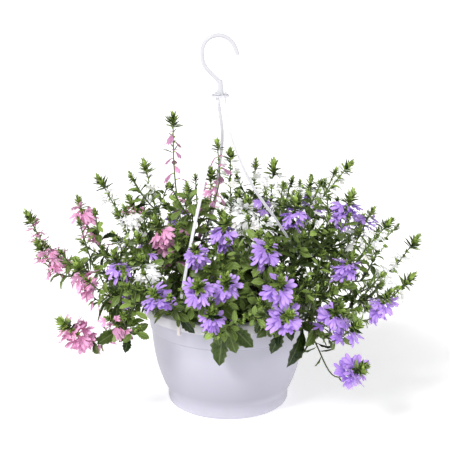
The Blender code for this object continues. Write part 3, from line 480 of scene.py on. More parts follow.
# Each spray: name, root on the soil, then its stems. A stem: name, part of the first stem's length at
# which it branches off, middle of its tuft, lean outwards, tuft size (0 for a leafy shoot), single flowers
SPRAYS = [
    ("left_far", (-84, -8), [
        ("P1", 0.0, (-306, -20, 306), 0.45, 1.15, 3), ("P2", 0.45, (-286, -60, 273), 0.5, 1.1, 1),
        ("P3", 0.3, (-234, 30, 317), 0.3, 1.0, 1)]),
    ("left_front", (-72, -52), [
        ("P5", 0.0, (-222, -110, 257), 0.35, 1.1, 1), ("W4", 0.35, (-128, -130, 271), 0.4, 0.9, 0),
        ("L1", 0.5, (-172, -118, 216), 0.9, 0.0, 0)]),
    ("left_low", (-88, -34), [
        ("P4", 0.0, (-244, -130, 172), 1.0, 1.3, 0), ("P4c", 0.55, (-176, -150, 186), 1.2, 0.6, 2)]),
    ("tall", (-48, 8), [
        ("P7", 0.0, (-84, 10, 452), 0.0, 1.15, 5), ("P10", 0.35, (-63, -20, 353), 0.2, 0.8, 0),
        ("P8", 0.3, (-17, 8, 413), 0.1, 0.9, 2)]),
    ("centre_left", (-44, -26), [
        ("P6", 0.0, (-108, -60, 308), 0.35, 1.15, 1), ("G138", 0.5, (-134, -84, 290), 0.4, 1.0, 0),
        ("P9", 0.3, (-27, 24, 364), 0.0, 1.1, 2)]),
    ("white_left", (-42, 46), [
        ("W1", 0.0, (-204, 70, 340), 0.6, 1.2, 2), ("W2", 0.4, (-134, 92, 361), 0.3, 1.15, 2),
        ("W3", 0.45, (-160, 0, 312), 0.4, 0.8, 0)]),
    ("white_centre", (8, 22), [
        ("W5", 0.0, (28, -20, 330), 0.2, 1.25, 0), ("W6", 0.45, (56, -62, 310), 0.4, 0.9, 1),
        ("W15", 0.3, (4, 120, 375), 0.1, 1.1, 2)]),
    ("white_back", (34, 54), [
        ("W8", 0.0, (72, 60, 368), 0.1, 1.3, 1), ("W7", 0.4, (45, 112, 360), 0.2, 0.85, 1),
        ("W9", 0.4, (103, 92, 336), 0.4, 0.8, 0)]),
    ("white_right", (64, 32), [
        ("W11", 0.0, (193, 70, 366), 0.9, 1.1, 3), ("W10", 0.4, (130, 50, 343), 0.2, 1.0, 1),
        ("U18", 0.35, (58, 26, 330), 0.2, 0.6, 0)]),
    ("right_far", (84, 4), [
        ("W12", 0.0, (295, 20, 256), 0.7, 1.2, 2), ("W13", 0.45, (246, -30, 298), 0.8, 1.1, 1),
        ("W16", 0.4, (204, 0, 279), 0.2, 1.0, 0)]),
    ("front_left", (-30, -80), [
        ("U11", 0.0, (-108, -178, 236), 0.9, 1.0, 0), ("U12", 0.4, (-165, -122, 273), 0.3, 1.1, 0)]),
    ("front", (-8, -60), [
        ("U9", 0.0, (-4, -190, 260), 0.6, 1.1, 0), ("U8", 0.5, (-44, -202, 256), 0.8, 1.1, 0),
        ("U10", 0.4, (-24, -196, 212), 0.8, 1.1, 1), ("L2", 0.3, (-4, -152, 188), 1.6, 0.8, 0)]),
    ("centre", (2, -26), [
        ("U4", 0.0, (-6, -82, 318), 0.3, 1.2, 0), ("U19", 0.45, (-50, -112, 282), 0.6, 0.9, 0)]),
    ("front_right", (36, -74), [
        ("U6", 0.0, (73, -200, 260), 0.8, 1.15, 0), ("U7", 0.5, (86, -210, 214), 1.1, 1.15, 0),
        ("U5", 0.4, (60, -132, 294), 0.7, 1.0, 0), ("L3", 0.3, (82, -150, 186), 1.6, 0.0, 0)]),
    ("upper_right", (66, -22), [
        ("U1", 0.0, (188, -20, 338), 0.4, 1.25, 0), ("U2", 0.55, (224, 10, 305), 0.6, 0.9, 0),
        ("U3", 0.35, (103, -42, 338), 0.15, 1.3, 0)]),
    ("right", (88, -34), [
        ("U17", 0.0, (184, -90, 262), 0.4, 1.1, 0), ("W14", 0.5, (276, -60, 218), 0.8, 1.25, 1),
        ("U16", 0.4, (240, -92, 204), 0.6, 1.1, 0)]),
    ("low_right", (62, -62), [
        ("U13", 0.0, (160, -160, 206), 0.8, 1.2, 0), ("U15", 0.5, (196, -172, 119), 1.5, 1.2, 0),
        ("U14", 0.55, (186, -172, 184), 1.1, 1.1, 1), ("L4", 0.35, (122, -128, 176), 1.6, 0.0, 0)]),
    ("back_left", (-52, 82), [
        ("B1", 0.0, (-165, 165, 285), 0.6, 1.2, 1), ("B2", 0.4, (-90, 212, 262), 0.8, 1.1, 0),
        ("B3", 0.5, (-196, 195, 212), 1.0, 1.1, 1)]),
    ("back_centre", (2, 92), [
        ("B4", 0.0, (18, 216, 282), 0.7, 1.2, 0), ("B5", 0.5, (-40, 236, 214), 1.1, 1.1, 1),
        ("B6", 0.4, (76, 214, 226), 1.0, 1.1, 0)]),
    ("back_right", (58, 80), [
        ("B7", 0.0, (152, 180, 290), 0.6, 1.2, 1), ("B8", 0.4, (222, 128, 262), 0.8, 1.1, 1),
        ("B9", 0.5, (150, 222, 208), 1.1, 1.1, 0)]),
]
print("sprays:", len(SPRAYS), "stems:", sum(len(spray[2]) for spray in SPRAYS))

# %% [markdown]
# ## Heads and set leaves
# A head is a ring of fan-shaped flowers just below a stem's tuft. The large leaves that hang over the rim
# in front are what the eye meets first there, so they are listed one by one.

# %% Heads and set leaves

HEADS = [
    ("U1", 2, "purple", 7, -22, 1.1), ("U2", 2, "purple", 3, -15, 1.0), ("U3", 2, "purple", 7, -26, 1.1),
    ("U4", 2, "purple", 7, -26, 1.1), ("U5", 2, "purple", 5, -5, 1.1), ("U6", 2, "purple", 6, 4, 1.12),
    ("U7", 2, "purple", 6, 4, 1.15), ("U8", 2, "purple", 5, -6, 1.05), ("U9", 2, "purple", 4, -10, 1.0),
    ("U10", 2, "purple", 3, -10, 0.9), ("U11", 2, "purple", 6, 0, 1.15), ("U12", 2, "purple", 4, -25, 0.95),
    ("U13", 2, "purple", 5, -5, 1.1), ("U14", 2, "purple", 4, -8, 1.05), ("U15", 2, "purple", 7, 6, 1.15),
    ("U16", 2, "purple", 5, -15, 1.05), ("U17", 2, "purple", 5, -22, 1.05), ("U18", 2, "purple", 3, -10, 0.9),
    ("U19", 2, "purple", 4, -15, 1.0), ("P3", 3, "pink", 5, -20, 1.05), ("P1", 62, "pink", 3, -5, 0.95),
    ("P5", 6, "pink", 5, -20, 1.05), ("P4", 3, "pink", 5, 0, 1.1), ("P4", 15, "pink", 5, 0, 1.05),
    ("P6", 3, "pink", 5, -22, 1.1), ("W4", 3, "white", 4, -15, 1.0), ("W5", 3, "white", 7, -18, 1.1),
    ("W3", 2, "white", 4, -15, 1.0), ("W12", 62, "white", 3, -10, 0.9), ("B1", 2, "pink", 5, -12, 1.1),
    ("B2", 2, "purple", 4, -6, 1.1), ("B4", 2, "white", 5, -12, 1.1), ("B6", 2, "purple", 4, -6, 1.1),
    ("B7", 2, "purple", 5, -12, 1.1),
]

# Large leaves listed one by one: stem, part of its length, direction of the blade, length
SET_LEAVES = [
    ("L2", 0.93, (-0.2, -0.2, -1.0), 70), ("L2", 0.84, (0.25, -0.35, -0.9), 50),
    ("L3", 0.96, (-0.25, -0.5, -0.9), 40), ("L3", 0.86, (0.6, -0.6, -0.6), 40),
    ("L4", 0.96, (0.1, -0.3, -1.0), 42), ("L4", 0.84, (0.3, -0.9, -0.2), 32),
    ("L1", 0.96, (-0.75, -0.35, -0.6), 46), ("L1", 0.86, (-0.1, -0.6, -0.9), 42),
    ("L1", 0.72, (-0.3, 0.7, 0.2), 32),
]

# Leaf: edge points as parts of its length, from root to tip, on one side
LEAF_EDGE = ((0.36, 0.13), (0.60, 0.235), (0.67, 0.175), (0.86, 0.165))
LEAF_MIDDLE = 0.55
LEAF_HALF_THICK = 0.5
LEAF_DROOP = 0.22
LEAF_SPACING = 132.0
SINGLE_SPACING = 13.0
BUD_HALF = 1.1
BLADE_START = 2.4

# How often a clear place is looked for
STEM_TRIES = 120
RING_TRIES = 12
FLOWER_TRIES = 24
BLADE_TRIES = 5
BUD_TRIES = 25
SET_TRIES = 30

# Flower: five lobes from a palm, angle in degrees and length, with the notches between them
PALM_REACH = 6.4
PALM_HALF_WIDTH = 4.2
PALM_HALF_THICK = 0.6
LOBES = ((-74, 12.0), (-37, 14.8), (0, 16.0), (37, 14.8), (74, 12.0))
LOBE_HALF_WIDTH = 2.0
NOTCH_REACH = 7.4
FLOWER_DROOP = 0.012

# Ring of receptacles that a head's flowers grow from
RING_SIDES = 5
RING_OUTER = 3.1
TIER_STEP = 3.0

# Tuft of bracts on a stem's tip: whorls of three, with their reach and rise
TUFT_STEP = 5.2
TUFT_CORE = (2.3, 2.5, 1.9)
TUFT_REACH = (8.6, 9.2, 7.0)
TUFT_RISE = (7.5, 9.0, 9.5)
TUFT_TOP = 11.0
SMALL_TUFT = 1.05
print("heads:", len(HEADS), "flowers wanted on them:", sum(row[3] for row in HEADS))

# %% [markdown]
# ## Directions and paths
# A stem is a Bezier curve from the soil, or from the stem it branches off, to the neck below its tuft. These
# helpers give a piece's matrix from the way it points, and places and directions along a path.

# %% Directions and paths
rng = random.Random(SEED)


def axes(origin, forward, up):
    """Matrix of a piece with X forward and Z close to up."""
    x = forward.normalized()
    y = up.cross(x)
    if y.length < 0.05:
        y = Vector((0.3, 1, 0.2)).cross(x)
    y.normalize()
    z = x.cross(y)
    place = Matrix((x, y, z)).transposed().to_4x4()
    place.translation = origin
    return place


def tip_direction(middle, lean):
    """The way a tuft points: up, leaning away from the pot's axis."""
    outward = Vector((middle[0], middle[1], 0)).normalized()
    return (UP + outward * lean).normalized()


def bezier(a, b, c, d, t):
    s = 1 - t
    return a * s ** 3 + b * 3 * s * s * t + c * 3 * s * t * t + d * t ** 3


def path_length(path):
    return sum((b - a).length for a, b in zip(path, path[1:]))


def path_marks(path):
    """Distance of each of a path's points along it."""
    return [path_length(path[:count]) for count in range(1, len(path) + 1)]


def along_path(path, distance):
    """Place and direction at a distance along a path, and the part of the path where it is."""
    left = distance
    for index, (a, b) in enumerate(zip(path, path[1:])):
        length = (b - a).length
        if left <= length or index == len(path) - 2:
            return a + (b - a) * (left / length), (b - a).normalized(), index
        left -= length


def carried_sides(path, side):
    """A direction square to the path, carried along it without turning about it."""
    sides = []
    for index in range(len(path)):
        before = path[max(index - 1, 0)]
        after = path[min(index + 1, len(path) - 1)]
        along = (after - before).normalized()
        side = (side - along * side.dot(along)).normalized()
        sides.append((along, side))
    return sides


print("a tuft that leans by a half points:", [round(value, 2) for value in tip_direction((1, 0), 0.5)])

# %% [markdown]
# ## Plain shapes to keep clear of
# A leaf that grows through a petal or a strap is the first thing that looks wrong in a dense plant. So each
# CAD shape is kept as a tree of faces, and a new one, a little thickened, stays only where it crosses none.

# %% Plain stems


def ring(centre, along, side, radius, turn, sides):
    across = along.cross(side)
    angles = [turn + 2 * math.pi * k / sides for k in range(sides)]
    return [centre + (side * math.cos(a) + across * math.sin(a)) * radius for a in angles]


def band(lower, upper, count):
    """Triangles between two rings of points, given by their first indices."""
    faces = []
    for k in range(count):
        after = (k + 1) % count
        faces.append((lower + k, lower + after, upper + after))
        faces.append((lower + k, upper + after, upper + k))
    return faces


def bud_ring(stem, distance):
    """The stem's own ring of points at a distance along it."""
    centre, along, index = along_path(stem["path"], distance)
    side = stem["sides"][index][1]
    side = (side - along * side.dot(along)).normalized()
    part = distance / path_length(stem["path"])
    radius = stem["radii"][0] * (1 - part) + stem["radii"][-1] * part
    return ring(centre, along, side, radius, 0, STEM_SIDES)


def stem_shape(stem, grow=0.0):
    """A stem in one skin, ending in whorls of pointed bracts."""
    path, tuft = stem["path"], stem["tuft"]
    along, side = stem["sides"][-1]
    points = []
    for centre, radius, (own_along, own_side) in zip(path, stem["radii"], stem["sides"]):
        points += ring(centre, own_along, own_side, radius + grow, 0, STEM_SIDES)
    last = len(points) - STEM_SIDES
    faces = [tuple(reversed(range(STEM_SIDES)))]
    for low in range(0, last, STEM_SIDES):
        faces += band(low, low + STEM_SIDES, STEM_SIDES)
    if tuft == 0:
        points.append(path[-1] + along * (2 * MM + grow))
        return points, faces + cap(last, len(points) - 1)
    turn = 0.0
    centre = path[-1]
    half_step = math.pi / STEM_SIDES
    whorls = list(zip(TUFT_CORE, TUFT_REACH, TUFT_RISE))
    for core, reach, rise in whorls if tuft >= SMALL_TUFT else whorls[1:]:
        bract_turn = turn + 1.5 * half_step
        turn += half_step
        bract = centre + along * ((rise + TUFT_STEP / 2) * MM * tuft + grow)
        centre = centre + along * TUFT_STEP * MM * tuft
        upper = len(points)
        points += ring(centre, along, side, core * MM * tuft + grow, turn, STEM_SIDES)
        tips = len(points)
        points += ring(bract, along, side, reach * MM * tuft + grow, bract_turn, STEM_SIDES)
        for k in range(STEM_SIDES):
            after = (k + 1) % STEM_SIDES
            edge = (last + k, last + after, upper + after, upper + k)
            faces += [(a, b, tips + k) for a, b in zip(edge, edge[1:] + edge[:1])]
        last = upper
    points.append(centre + along * (TUFT_TOP * MM * tuft + grow))
    return points, faces + cap(last, len(points) - 1)


def cap(first, top):
    """Faces from a ring up to one point."""
    return [(first + k, first + (k + 1) % STEM_SIDES, top) for k in range(STEM_SIDES)]


# %% [markdown]
# A plain leaf or flower is an edge with one point above its middle and one below.

# %% Plain leaves and flowers


def leaf_edge(length, grow):
    """Edge of a toothed leaf from its root's one side round its tip to the other, in its own axes."""
    outline = [(x * length, -half * length - grow) for x, half in LEAF_EDGE]
    outline.append((length + grow, 0.0))
    outline += [(x * length, half * length + grow) for x, half in reversed(LEAF_EDGE)]
    return [Vector((x, y, -LEAF_DROOP * x * x / length)) for x, y in outline]


def flower_edge(size, grow, blunt):
    """Edge of a flower's palm and lobes, from one side round to the other."""
    reach = PALM_REACH * size
    half = PALM_HALF_WIDTH * size + grow / MM
    edge = [(reach, -half)]
    for index, (degrees, length) in enumerate(LOBES):
        angle = math.radians(degrees)
        out = length * size + grow / MM
        spread = (LOBE_HALF_WIDTH * size + grow / MM) / out
        outer = index in (0, len(LOBES) - 1)
        for turn in ((angle - spread, angle + spread) if blunt and not outer else (angle,)):
            edge.append((reach + out * math.cos(turn), out * math.sin(turn)))
        if index < len(LOBES) - 1:
            turn = angle + math.radians(18.5)
            out = NOTCH_REACH * size + grow / MM
            edge.append((reach + out * math.cos(turn), out * math.sin(turn)))
    edge.append((reach, half))
    return [Vector((x, y, -FLOWER_DROOP * (x * x + y * y) / size)) * MM for x, y in edge]


def blade_parts(kind, size, grow):
    """A blade's edge, and its middle on the upper and under face: a leaf's size is its length."""
    if kind == "leaf":
        edge = leaf_edge(size, grow)
        middle = Vector((LEAF_MIDDLE, 0, -LEAF_DROOP * LEAF_MIDDLE ** 2)) * size
        half = Vector((0, 0, LEAF_HALF_THICK * MM + grow))
        return edge, middle + half, middle - half
    edge = flower_edge(size, grow, kind == "flower")
    reach = PALM_REACH * size
    middle = Vector((reach, 0, -FLOWER_DROOP * reach * reach / size)) * MM
    half = Vector((0, 0, PALM_HALF_THICK * MM + grow))
    return edge, middle + half, middle - half


def free_blade(blade, grow=0.0):
    """The blade beyond its root, closed, as something to keep clear of."""
    edge, upper, under = blade_parts(blade["kind"], blade["size"], grow)
    start = BLADE_START * MM
    width = 0.8 * MM + grow
    root = [(start, -width, -width), (start, width, -width), (start, width, width), (start, -width, width)]
    points = [Vector(corner) for corner in root]
    count = len(edge)
    left, right, top, bottom = 4, 3 + count, 4 + count, 5 + count
    points += edge + [upper, under]
    faces = [(3, 2, 1, 0), (0, 1, bottom), (0, bottom, left), (1, right, bottom), (1, 2, right),
             (2, 3, top), (3, left, top), (2, top, right), (3, 0, left)]
    faces += [(top, k, k + 1) for k in range(left, right)]
    faces += [(bottom, k + 1, k) for k in range(left, right)]
    return [blade["place"] @ point for point in points], faces


def ring_shape(place, heights, grow=0.0):
    """The receptacle ring on its own, as something to keep clear of."""
    side = place.col[0].to_3d()
    along = place.col[2].to_3d()
    points = []
    for height in (heights[0] - grow, heights[-1] + grow):
        points += ring(place.translation + along * height, along, side, RING_OUTER * MM + grow, 0, RING_SIDES)
    return points, band(0, RING_SIDES, RING_SIDES)


print("edge points of a leaf and of a flower:", len(leaf_edge(1, 0)), len(flower_edge(1, 0, True)))

# %% [markdown]
# The pot and the soil are outlines turned round the upright axis. A strap is a section carried along a path.

# %% Turned and carried shapes


def turned_shape(profile):
    """Closed outline of radius and height, turned round the pot's axis."""
    points = []
    for radius, height in profile:
        centre = Vector((0, 0, height * MM))
        points += ring(centre, UP, Vector((1, 0, 0)), radius * MM, 0, TURN_STEPS)
    faces = []
    for index in range(len(profile)):
        after = (index + 1) % len(profile)
        faces += band(index * TURN_STEPS, after * TURN_STEPS, TURN_STEPS)
    return points, faces


def loft(path, sides, section, width, thick):
    """A section carried along a path, its width kept along the side given for each point."""
    points, faces = [], []
    count = len(section)
    for index, centre in enumerate(path):
        along = (path[min(index + 1, len(path) - 1)] - path[max(index - 1, 0)]).normalized()
        across = (sides[index] - along * sides[index].dot(along)).normalized()
        out = along.cross(across)
        points += [centre + across * a * width + out * b * thick for a, b in section]
    for index in range(len(path) - 1):
        low, high = index * count, (index + 1) * count
        for k in range(count):
            after = (k + 1) % count
            faces.append((low + k, low + after, high + after, high + k))
    ends = [tuple(reversed(range(count))), tuple(range((len(path) - 1) * count, len(path) * count))]
    return points, faces + ends


# %% Keeping clear
placed = []


def solid_tree(shape):
    """A tree of the shape's faces, with the sphere round it."""
    points, faces = shape
    middle = sum(points, Vector()) / len(points)
    radius = max((point - middle).length for point in points)
    return BVHTree.FromPolygons(points, faces), middle, radius


def is_clear(shape, owner="", own_too=()):
    """True if a shape crosses nothing of another owner, nor what is named in own_too."""
    tree, middle, radius = solid_tree(shape)
    for other, kind, other_tree, other_middle, other_radius in placed:
        if other == owner and kind not in own_too:
            continue
        if (middle - other_middle).length > radius + other_radius:
            continue
        if tree.overlap(other_tree):
            return False
    return True


def keep(shape, owner, kind):
    placed.append((owner, kind) + solid_tree(shape))


# %% [markdown]
# ## Growing the plant
# Stems come first, because everything else hangs on them. Then come the listed leaves, the heads, the
# single flowers and the remaining leaves, each trying a few poses before it gives up. This order keeps the
# random draws in step with the CAD source.

# %% Growing stems


def strap_path(degrees):
    """Strap's middle line from above the plate, down in a bow, over the rim and down its skirt."""
    turn = math.radians(degrees)
    outward = Vector((math.cos(turn), math.sin(turn), 0))
    hub = Vector((HUB_X, 0, 0))
    top = hub + outward * SLOT_RADIUS
    rim = RIM_RADIUS + FIT_GAP + STRAP_THICK / 2
    over = outward * rim
    bow = STRAP_BOWS[degrees]
    path = [top + UP * (HUB_Z + PLATE_THICK + 1.5), top + UP * (HUB_Z - 6)]
    start = path[-1]
    end = over + UP * (POT_HEIGHT + 6)
    for part, sway in zip((0.2, 0.42, 0.62, 0.82), bow):
        path.append(start.lerp(end, part) + Vector(sway))
    path.append(end)
    path.append(over + UP * (SKIRT_BOTTOM - 6))
    return [point * MM for point in path], outward


def strap_sides(degrees, path, outward):
    """The way a strap's width runs at each of its path's points, with its twist."""
    side = UP.cross(outward)
    along = (path[-2] - path[1]).normalized()
    twists = (0, 0) + STRAP_TWISTS[degrees] + (0, 0)
    return [Matrix.Rotation(math.radians(twist), 3, along) @ side for twist in twists]


def strap_strip(degrees):
    """One strap as a plain flat strip."""
    path, outward = strap_path(degrees)
    section = ((-0.5, -0.5), (0.5, -0.5), (0.5, 0.5), (-0.5, 0.5))
    return loft(path, strap_sides(degrees, path, outward), section, STRAP_WIDTH * MM, STRAP_THICK * MM)


def stem_route(start, start_direction, row, strength, steps):
    """Points of a stem from where it starts to the base of its tuft, with a random sway."""
    middle, lean, tuft = row[2:5]
    end_direction = tip_direction(middle, lean)
    base = Vector(middle) * MM - end_direction * 12 * MM * max(tuft, 0.3)
    neck = base - end_direction * (NECK * MM if tuft else 10 * MM)
    reach = (neck - start).length * 0.4
    sways = [Vector((rng.uniform(-1, 1), rng.uniform(-1, 1), rng.uniform(-0.5, 0.7))) for _ in range(2)]
    second = start + start_direction * reach + sways[0] * strength
    third = neck - end_direction * reach + sways[1] * strength
    controls = (start, second, third, neck)
    return [bezier(*controls, step) for step in steps] + [neck, base], controls


def grow_stem(spray, row, first):
    """Finds a clear path for one stem and keeps it."""
    name, part, middle, _, tuft, singles = row
    if first is None:
        root = Vector((spray[1][0], spray[1][1], SOIL_TOP)) * MM
        head = [root - UP * (ROOT_DEPTH - 1) * MM, root + UP * 4 * MM]
        outward = Vector((middle[0], middle[1], 0)) * MM
        direction = (UP * 0.55 + outward * 1.0).normalized()
        steps = (0.34, 0.7)
    else:
        start, direction = along_path(first["path"], part * path_length(first["path"]))[:2]
        target = (Vector(middle) * MM - start).normalized()
        direction = (direction * 0.6 + target + UP * 0.2).normalized()
        head = [start]
        steps = (0.4, 0.75) if tuft else (0.5,)
    thick = STEM_RADIUS if first is None else STEM_RADIUS * 0.9
    for attempt in range(STEM_TRIES):
        route, controls = stem_route(head[-1], direction, row, attempt * 0.9 * MM, steps)
        path = head + route
        count = len(path) - 1
        radii = [(thick + (TIP_RADIUS - thick) * k / count) * MM for k in range(count + 1)]
        stem = {"name": name, "spray": spray[0], "path": path, "radii": radii, "tuft": tuft, "buds": [],
                "sides": carried_sides(path, Vector((1, 0.2, 0.1))), "singles": singles,
                "controls": controls, "root": first is None}
        if is_clear(stem_shape(stem, CLEAR * MM), spray[0], ("tip",)):
            break
    else:
        print("no clear way for", name)
    keep(stem_shape(stem), spray[0], "stem")
    if tuft:
        tip = dict(stem, path=path[-2:], radii=radii[-2:], sides=stem["sides"][-2:])
        keep(stem_shape(tip), spray[0], "tip")
    return stem


# %% [markdown]
# A head's flowers grow from a ring of five flat faces round the stem, in one or two tiers.

# %% Growing heads


def grow_head(number, row, stems):
    """Sets a head's ring on its stem and finds a clear place for each of its flowers."""
    stem_name, drop, colour, count, tilt, size = row
    stem = stems[stem_name]
    length = path_length(stem["path"])
    tiers = 1 if count <= RING_SIDES else 2
    heights = [TIER_STEP * MM * k for k in range(tiers + 1)]
    owner = f"petals_{number:02d}"
    for shift in range(RING_TRIES):
        low = length - (drop + shift * 1.5) * MM - heights[-1]
        high = low + heights[-1]
        centre, along = along_path(stem["path"], low)[:2]
        place = axes(centre, along.orthogonal(), along)
        bends = [mark for mark in path_marks(stem["path"]) if low - 2 * MM < mark < high + 1 * MM]
        if not bends and is_clear(ring_shape(place, heights, CLEAR * MM), stem["spray"]):
            break
    else:
        print("no clear ring for", stem_name)
    stem["rings"].append((low - 2 * MM, high + 2 * MM))
    keep(ring_shape(place, heights), owner, "ring")
    faces = [(tier, k) for tier in range(tiers) for k in range(RING_SIDES)]
    rng.shuffle(faces)
    flowers = {}
    for face in sorted(faces[:count]):
        found = grow_flower(place, heights, face, tilt, size)
        if found:
            flowers[face] = found
    return {"name": owner, "colour": colour, "place": place, "heights": heights, "flowers": flowers}


def grow_flower(place, heights, face, tilt, size):
    """Tries one flower on a face of a head's ring, turned and shrunk till it is clear."""
    tier, k = face
    along = place.col[2].to_3d()
    side = place.col[0].to_3d()
    turn = 2 * math.pi * (k + 0.5) / RING_SIDES
    out = side * math.cos(turn) + along.cross(side) * math.sin(turn)
    apothem = RING_OUTER * MM * math.cos(math.pi / RING_SIDES)
    level = (heights[tier] + heights[tier + 1]) / 2
    origin = place.translation + along * level + out * apothem
    for attempt in range(FLOWER_TRIES):
        lift = math.radians(tilt + (tier * 14 - 4) + rng.uniform(-10, 10) * (1 + attempt * 0.12))
        roll = math.radians(rng.choice((-1, 1)) * rng.uniform(8, 26 + attempt))
        yaw = math.radians(rng.uniform(-10, 10) * (1 + attempt * 0.1))
        scale = size * rng.uniform(0.94, 1.05) * (1 - 0.014 * attempt)
        forward = Matrix.Rotation(yaw, 3, along) @ out
        forward = forward * math.cos(lift) + along * math.sin(lift)
        upward = Matrix.Rotation(roll, 3, forward) @ along
        flower = {"kind": "flower", "place": axes(origin, forward, upward), "size": scale}
        if is_clear(free_blade(flower, CLEAR * MM)):
            keep(free_blade(flower), "flower", "blade")
            return flower
    return None


# %% [markdown]
# A leaf or a single flower grows from a bud, a short stretch of the stem with three faces.

# %% Growing leaves and single flowers


def new_bud(stem, distance):
    """A bud on a stem, moved clear of its bends, its ends, its heads and its other buds."""
    path = stem["path"]
    reached = path_marks(path)
    taken = [(mark - 1 * MM, mark + 1 * MM) for mark in reached]
    taken += [(bud["distance"] - 2 * MM, bud["distance"] + 2 * MM) for bud in stem["buds"]]
    taken += stem["rings"]
    half = (BUD_HALF + 1) * MM
    for step in range(BUD_TRIES):
        moved = distance + (step // 2 + step % 2) * (1 if step % 2 else -1) * MM
        if moved < reached[0] + 4 * MM or moved > reached[-1] - 3 * MM:
            continue
        if all(moved + half < low or moved - half > high for low, high in taken):
            return {"distance": moved, "blades": {}}
    return None


def bud_place(stem, bud, k):
    """Middle and outward direction of one face of a bud."""
    corners = bud_ring(stem, bud["distance"])
    middle = (corners[k] + corners[(k + 1) % STEM_SIDES]) / 2
    centre, along = along_path(stem["path"], bud["distance"])[:2]
    return middle, (middle - centre).normalized(), along


def grow_blade(stem, bud, k, forward, upward, kind, size):
    """Tries one leaf or single flower on a bud's face and keeps it if nothing is in its way."""
    middle = bud_place(stem, bud, k)[0]
    blade = {"kind": kind, "place": axes(middle, forward, upward), "size": size}
    if not is_clear(free_blade(blade, CLEAR * MM)):
        return False
    keep(free_blade(blade), "blade", kind)
    bud["blades"][k] = blade
    return True


def grow_on_bud(stem, distance, count, kind, size):
    """Up to `count` leaves or single flowers on a new bud, turned till they are clear."""
    bud = new_bud(stem, distance)
    if bud is None:
        return
    order = list(range(STEM_SIDES))
    rng.shuffle(order)
    for k in order:
        if len(bud["blades"]) == count:
            break
        out, along = bud_place(stem, bud, k)[1:]
        for attempt in range(BLADE_TRIES):
            yaw = rng.uniform(-0.5, 0.5)
            lift = rng.uniform(0.0, 0.7) if kind == "leaf" else rng.uniform(-0.1, 0.4)
            forward = Matrix.Rotation(yaw, 3, along) @ out + along * lift
            upward = along + UP * 0.5 + out * rng.uniform(-0.2, 0.2)
            scale = size * (1 - 0.03 * attempt)
            if grow_blade(stem, bud, k, forward, upward, kind, scale):
                break
    if bud["blades"]:
        stem["buds"].append(bud)


def grow_set_leaf(stem, part, forward, length):
    """A listed leaf: on the face of a bud that looks most its way."""
    bud = new_bud(stem, part * path_length(stem["path"]))
    if bud is None:
        print("no bud for a set leaf on", stem["name"])
        return
    outs = [bud_place(stem, bud, k)[1] for k in range(STEM_SIDES)]
    k = max(range(STEM_SIDES), key=lambda face: outs[face].dot(forward))
    outward = Vector((outs[k].x, outs[k].y, 0))
    for attempt in range(SET_TRIES):
        swing = Vector((rng.uniform(-1, 1), rng.uniform(-1, 0.4), rng.uniform(-0.5, 1))) * 0.04 * attempt
        size = length * (1 - 0.02 * attempt) * MM
        if grow_blade(stem, bud, k, forward + swing, UP + outward, "leaf", size):
            stem["buds"].append(bud)
            return
    print("no room for a set leaf on", stem["name"])


# %% [markdown]
# The outlines of the pot and the soil are pairs of a radius and a height. The finer pieces use them too.

# %% Outlines of the pot and the soil


def wall_radius(height):
    """Outside radius of the pot's wall, bowed a little, from the foot band to the crease."""
    low, high = BASE_RADIUS + 4.6, RIM_RADIUS - 15.7
    part = (height - FOOT_BAND) / (CREASE_HEIGHT - FOOT_BAND)
    return low + (high - low) * part + 7.5 * math.sin(math.pi * part * 0.9) * (1 - 0.25 * part)


def pot_profile():
    """Outline from the inside's middle, up the inner wall, over the rim and down the outside."""
    collar = RIM_RADIUS - 9.5
    flange = POT_HEIGHT - 3.6
    inside = [(0, WALL), (BASE_RADIUS - 6, WALL), (wall_radius(FOOT_BAND) - WALL, FOOT_BAND + WALL)]
    inside += [(wall_radius(height) - WALL, height) for height in (70, CREASE_HEIGHT)]
    rim = [(collar - 3, SOIL_TOP + 4), (collar - 1.4, POT_HEIGHT - 1), (RIM_RADIUS - 6, POT_HEIGHT),
           (RIM_RADIUS, POT_HEIGHT - 3), (RIM_RADIUS, SKIRT_BOTTOM),
           (RIM_RADIUS - 1.8, SKIRT_BOTTOM), (RIM_RADIUS - 2.2, flange), (collar + 1.2, flange)]
    outside = [(RIM_RADIUS - 11.8, CREASE_HEIGHT + 1.2)]
    outside += [(wall_radius(height), height) for height in (CREASE_HEIGHT - 0.8, 90, 56, FOOT_BAND + 3)]
    foot = [(BASE_RADIUS + 2.2, FOOT_BAND), (BASE_RADIUS + 3.2, 12), (BASE_RADIUS + 3.4, 6),
            (BASE_RADIUS + 2, 2), (BASE_RADIUS - 1.5, 0), (0, 0)]
    return inside, rim, outside, foot


def soil_profile():
    """The soil fills the pot up to its top, a small gap inside the wall."""
    inside = pot_profile()[0]
    gap = FIT_GAP
    walls = [(radius - gap, height) for radius, height in inside[2:]]
    floor = WALL + gap
    bottom = (inside[1][0] - gap, floor)
    top = (wall_radius(CREASE_HEIGHT) - WALL + 2.2 - gap, SOIL_TOP)
    return [(0, floor), bottom] + walls + [top, (0, SOIL_TOP + 3)]


pot_outline = sum(pot_profile(), [])
print("points of the pot's outline:", len(pot_outline), "of the soil's:", len(soil_profile()))

# %% [markdown]
# The plant grows in the CAD model's order, between the pot and the straps that are there first.

# %% Let the plant grow


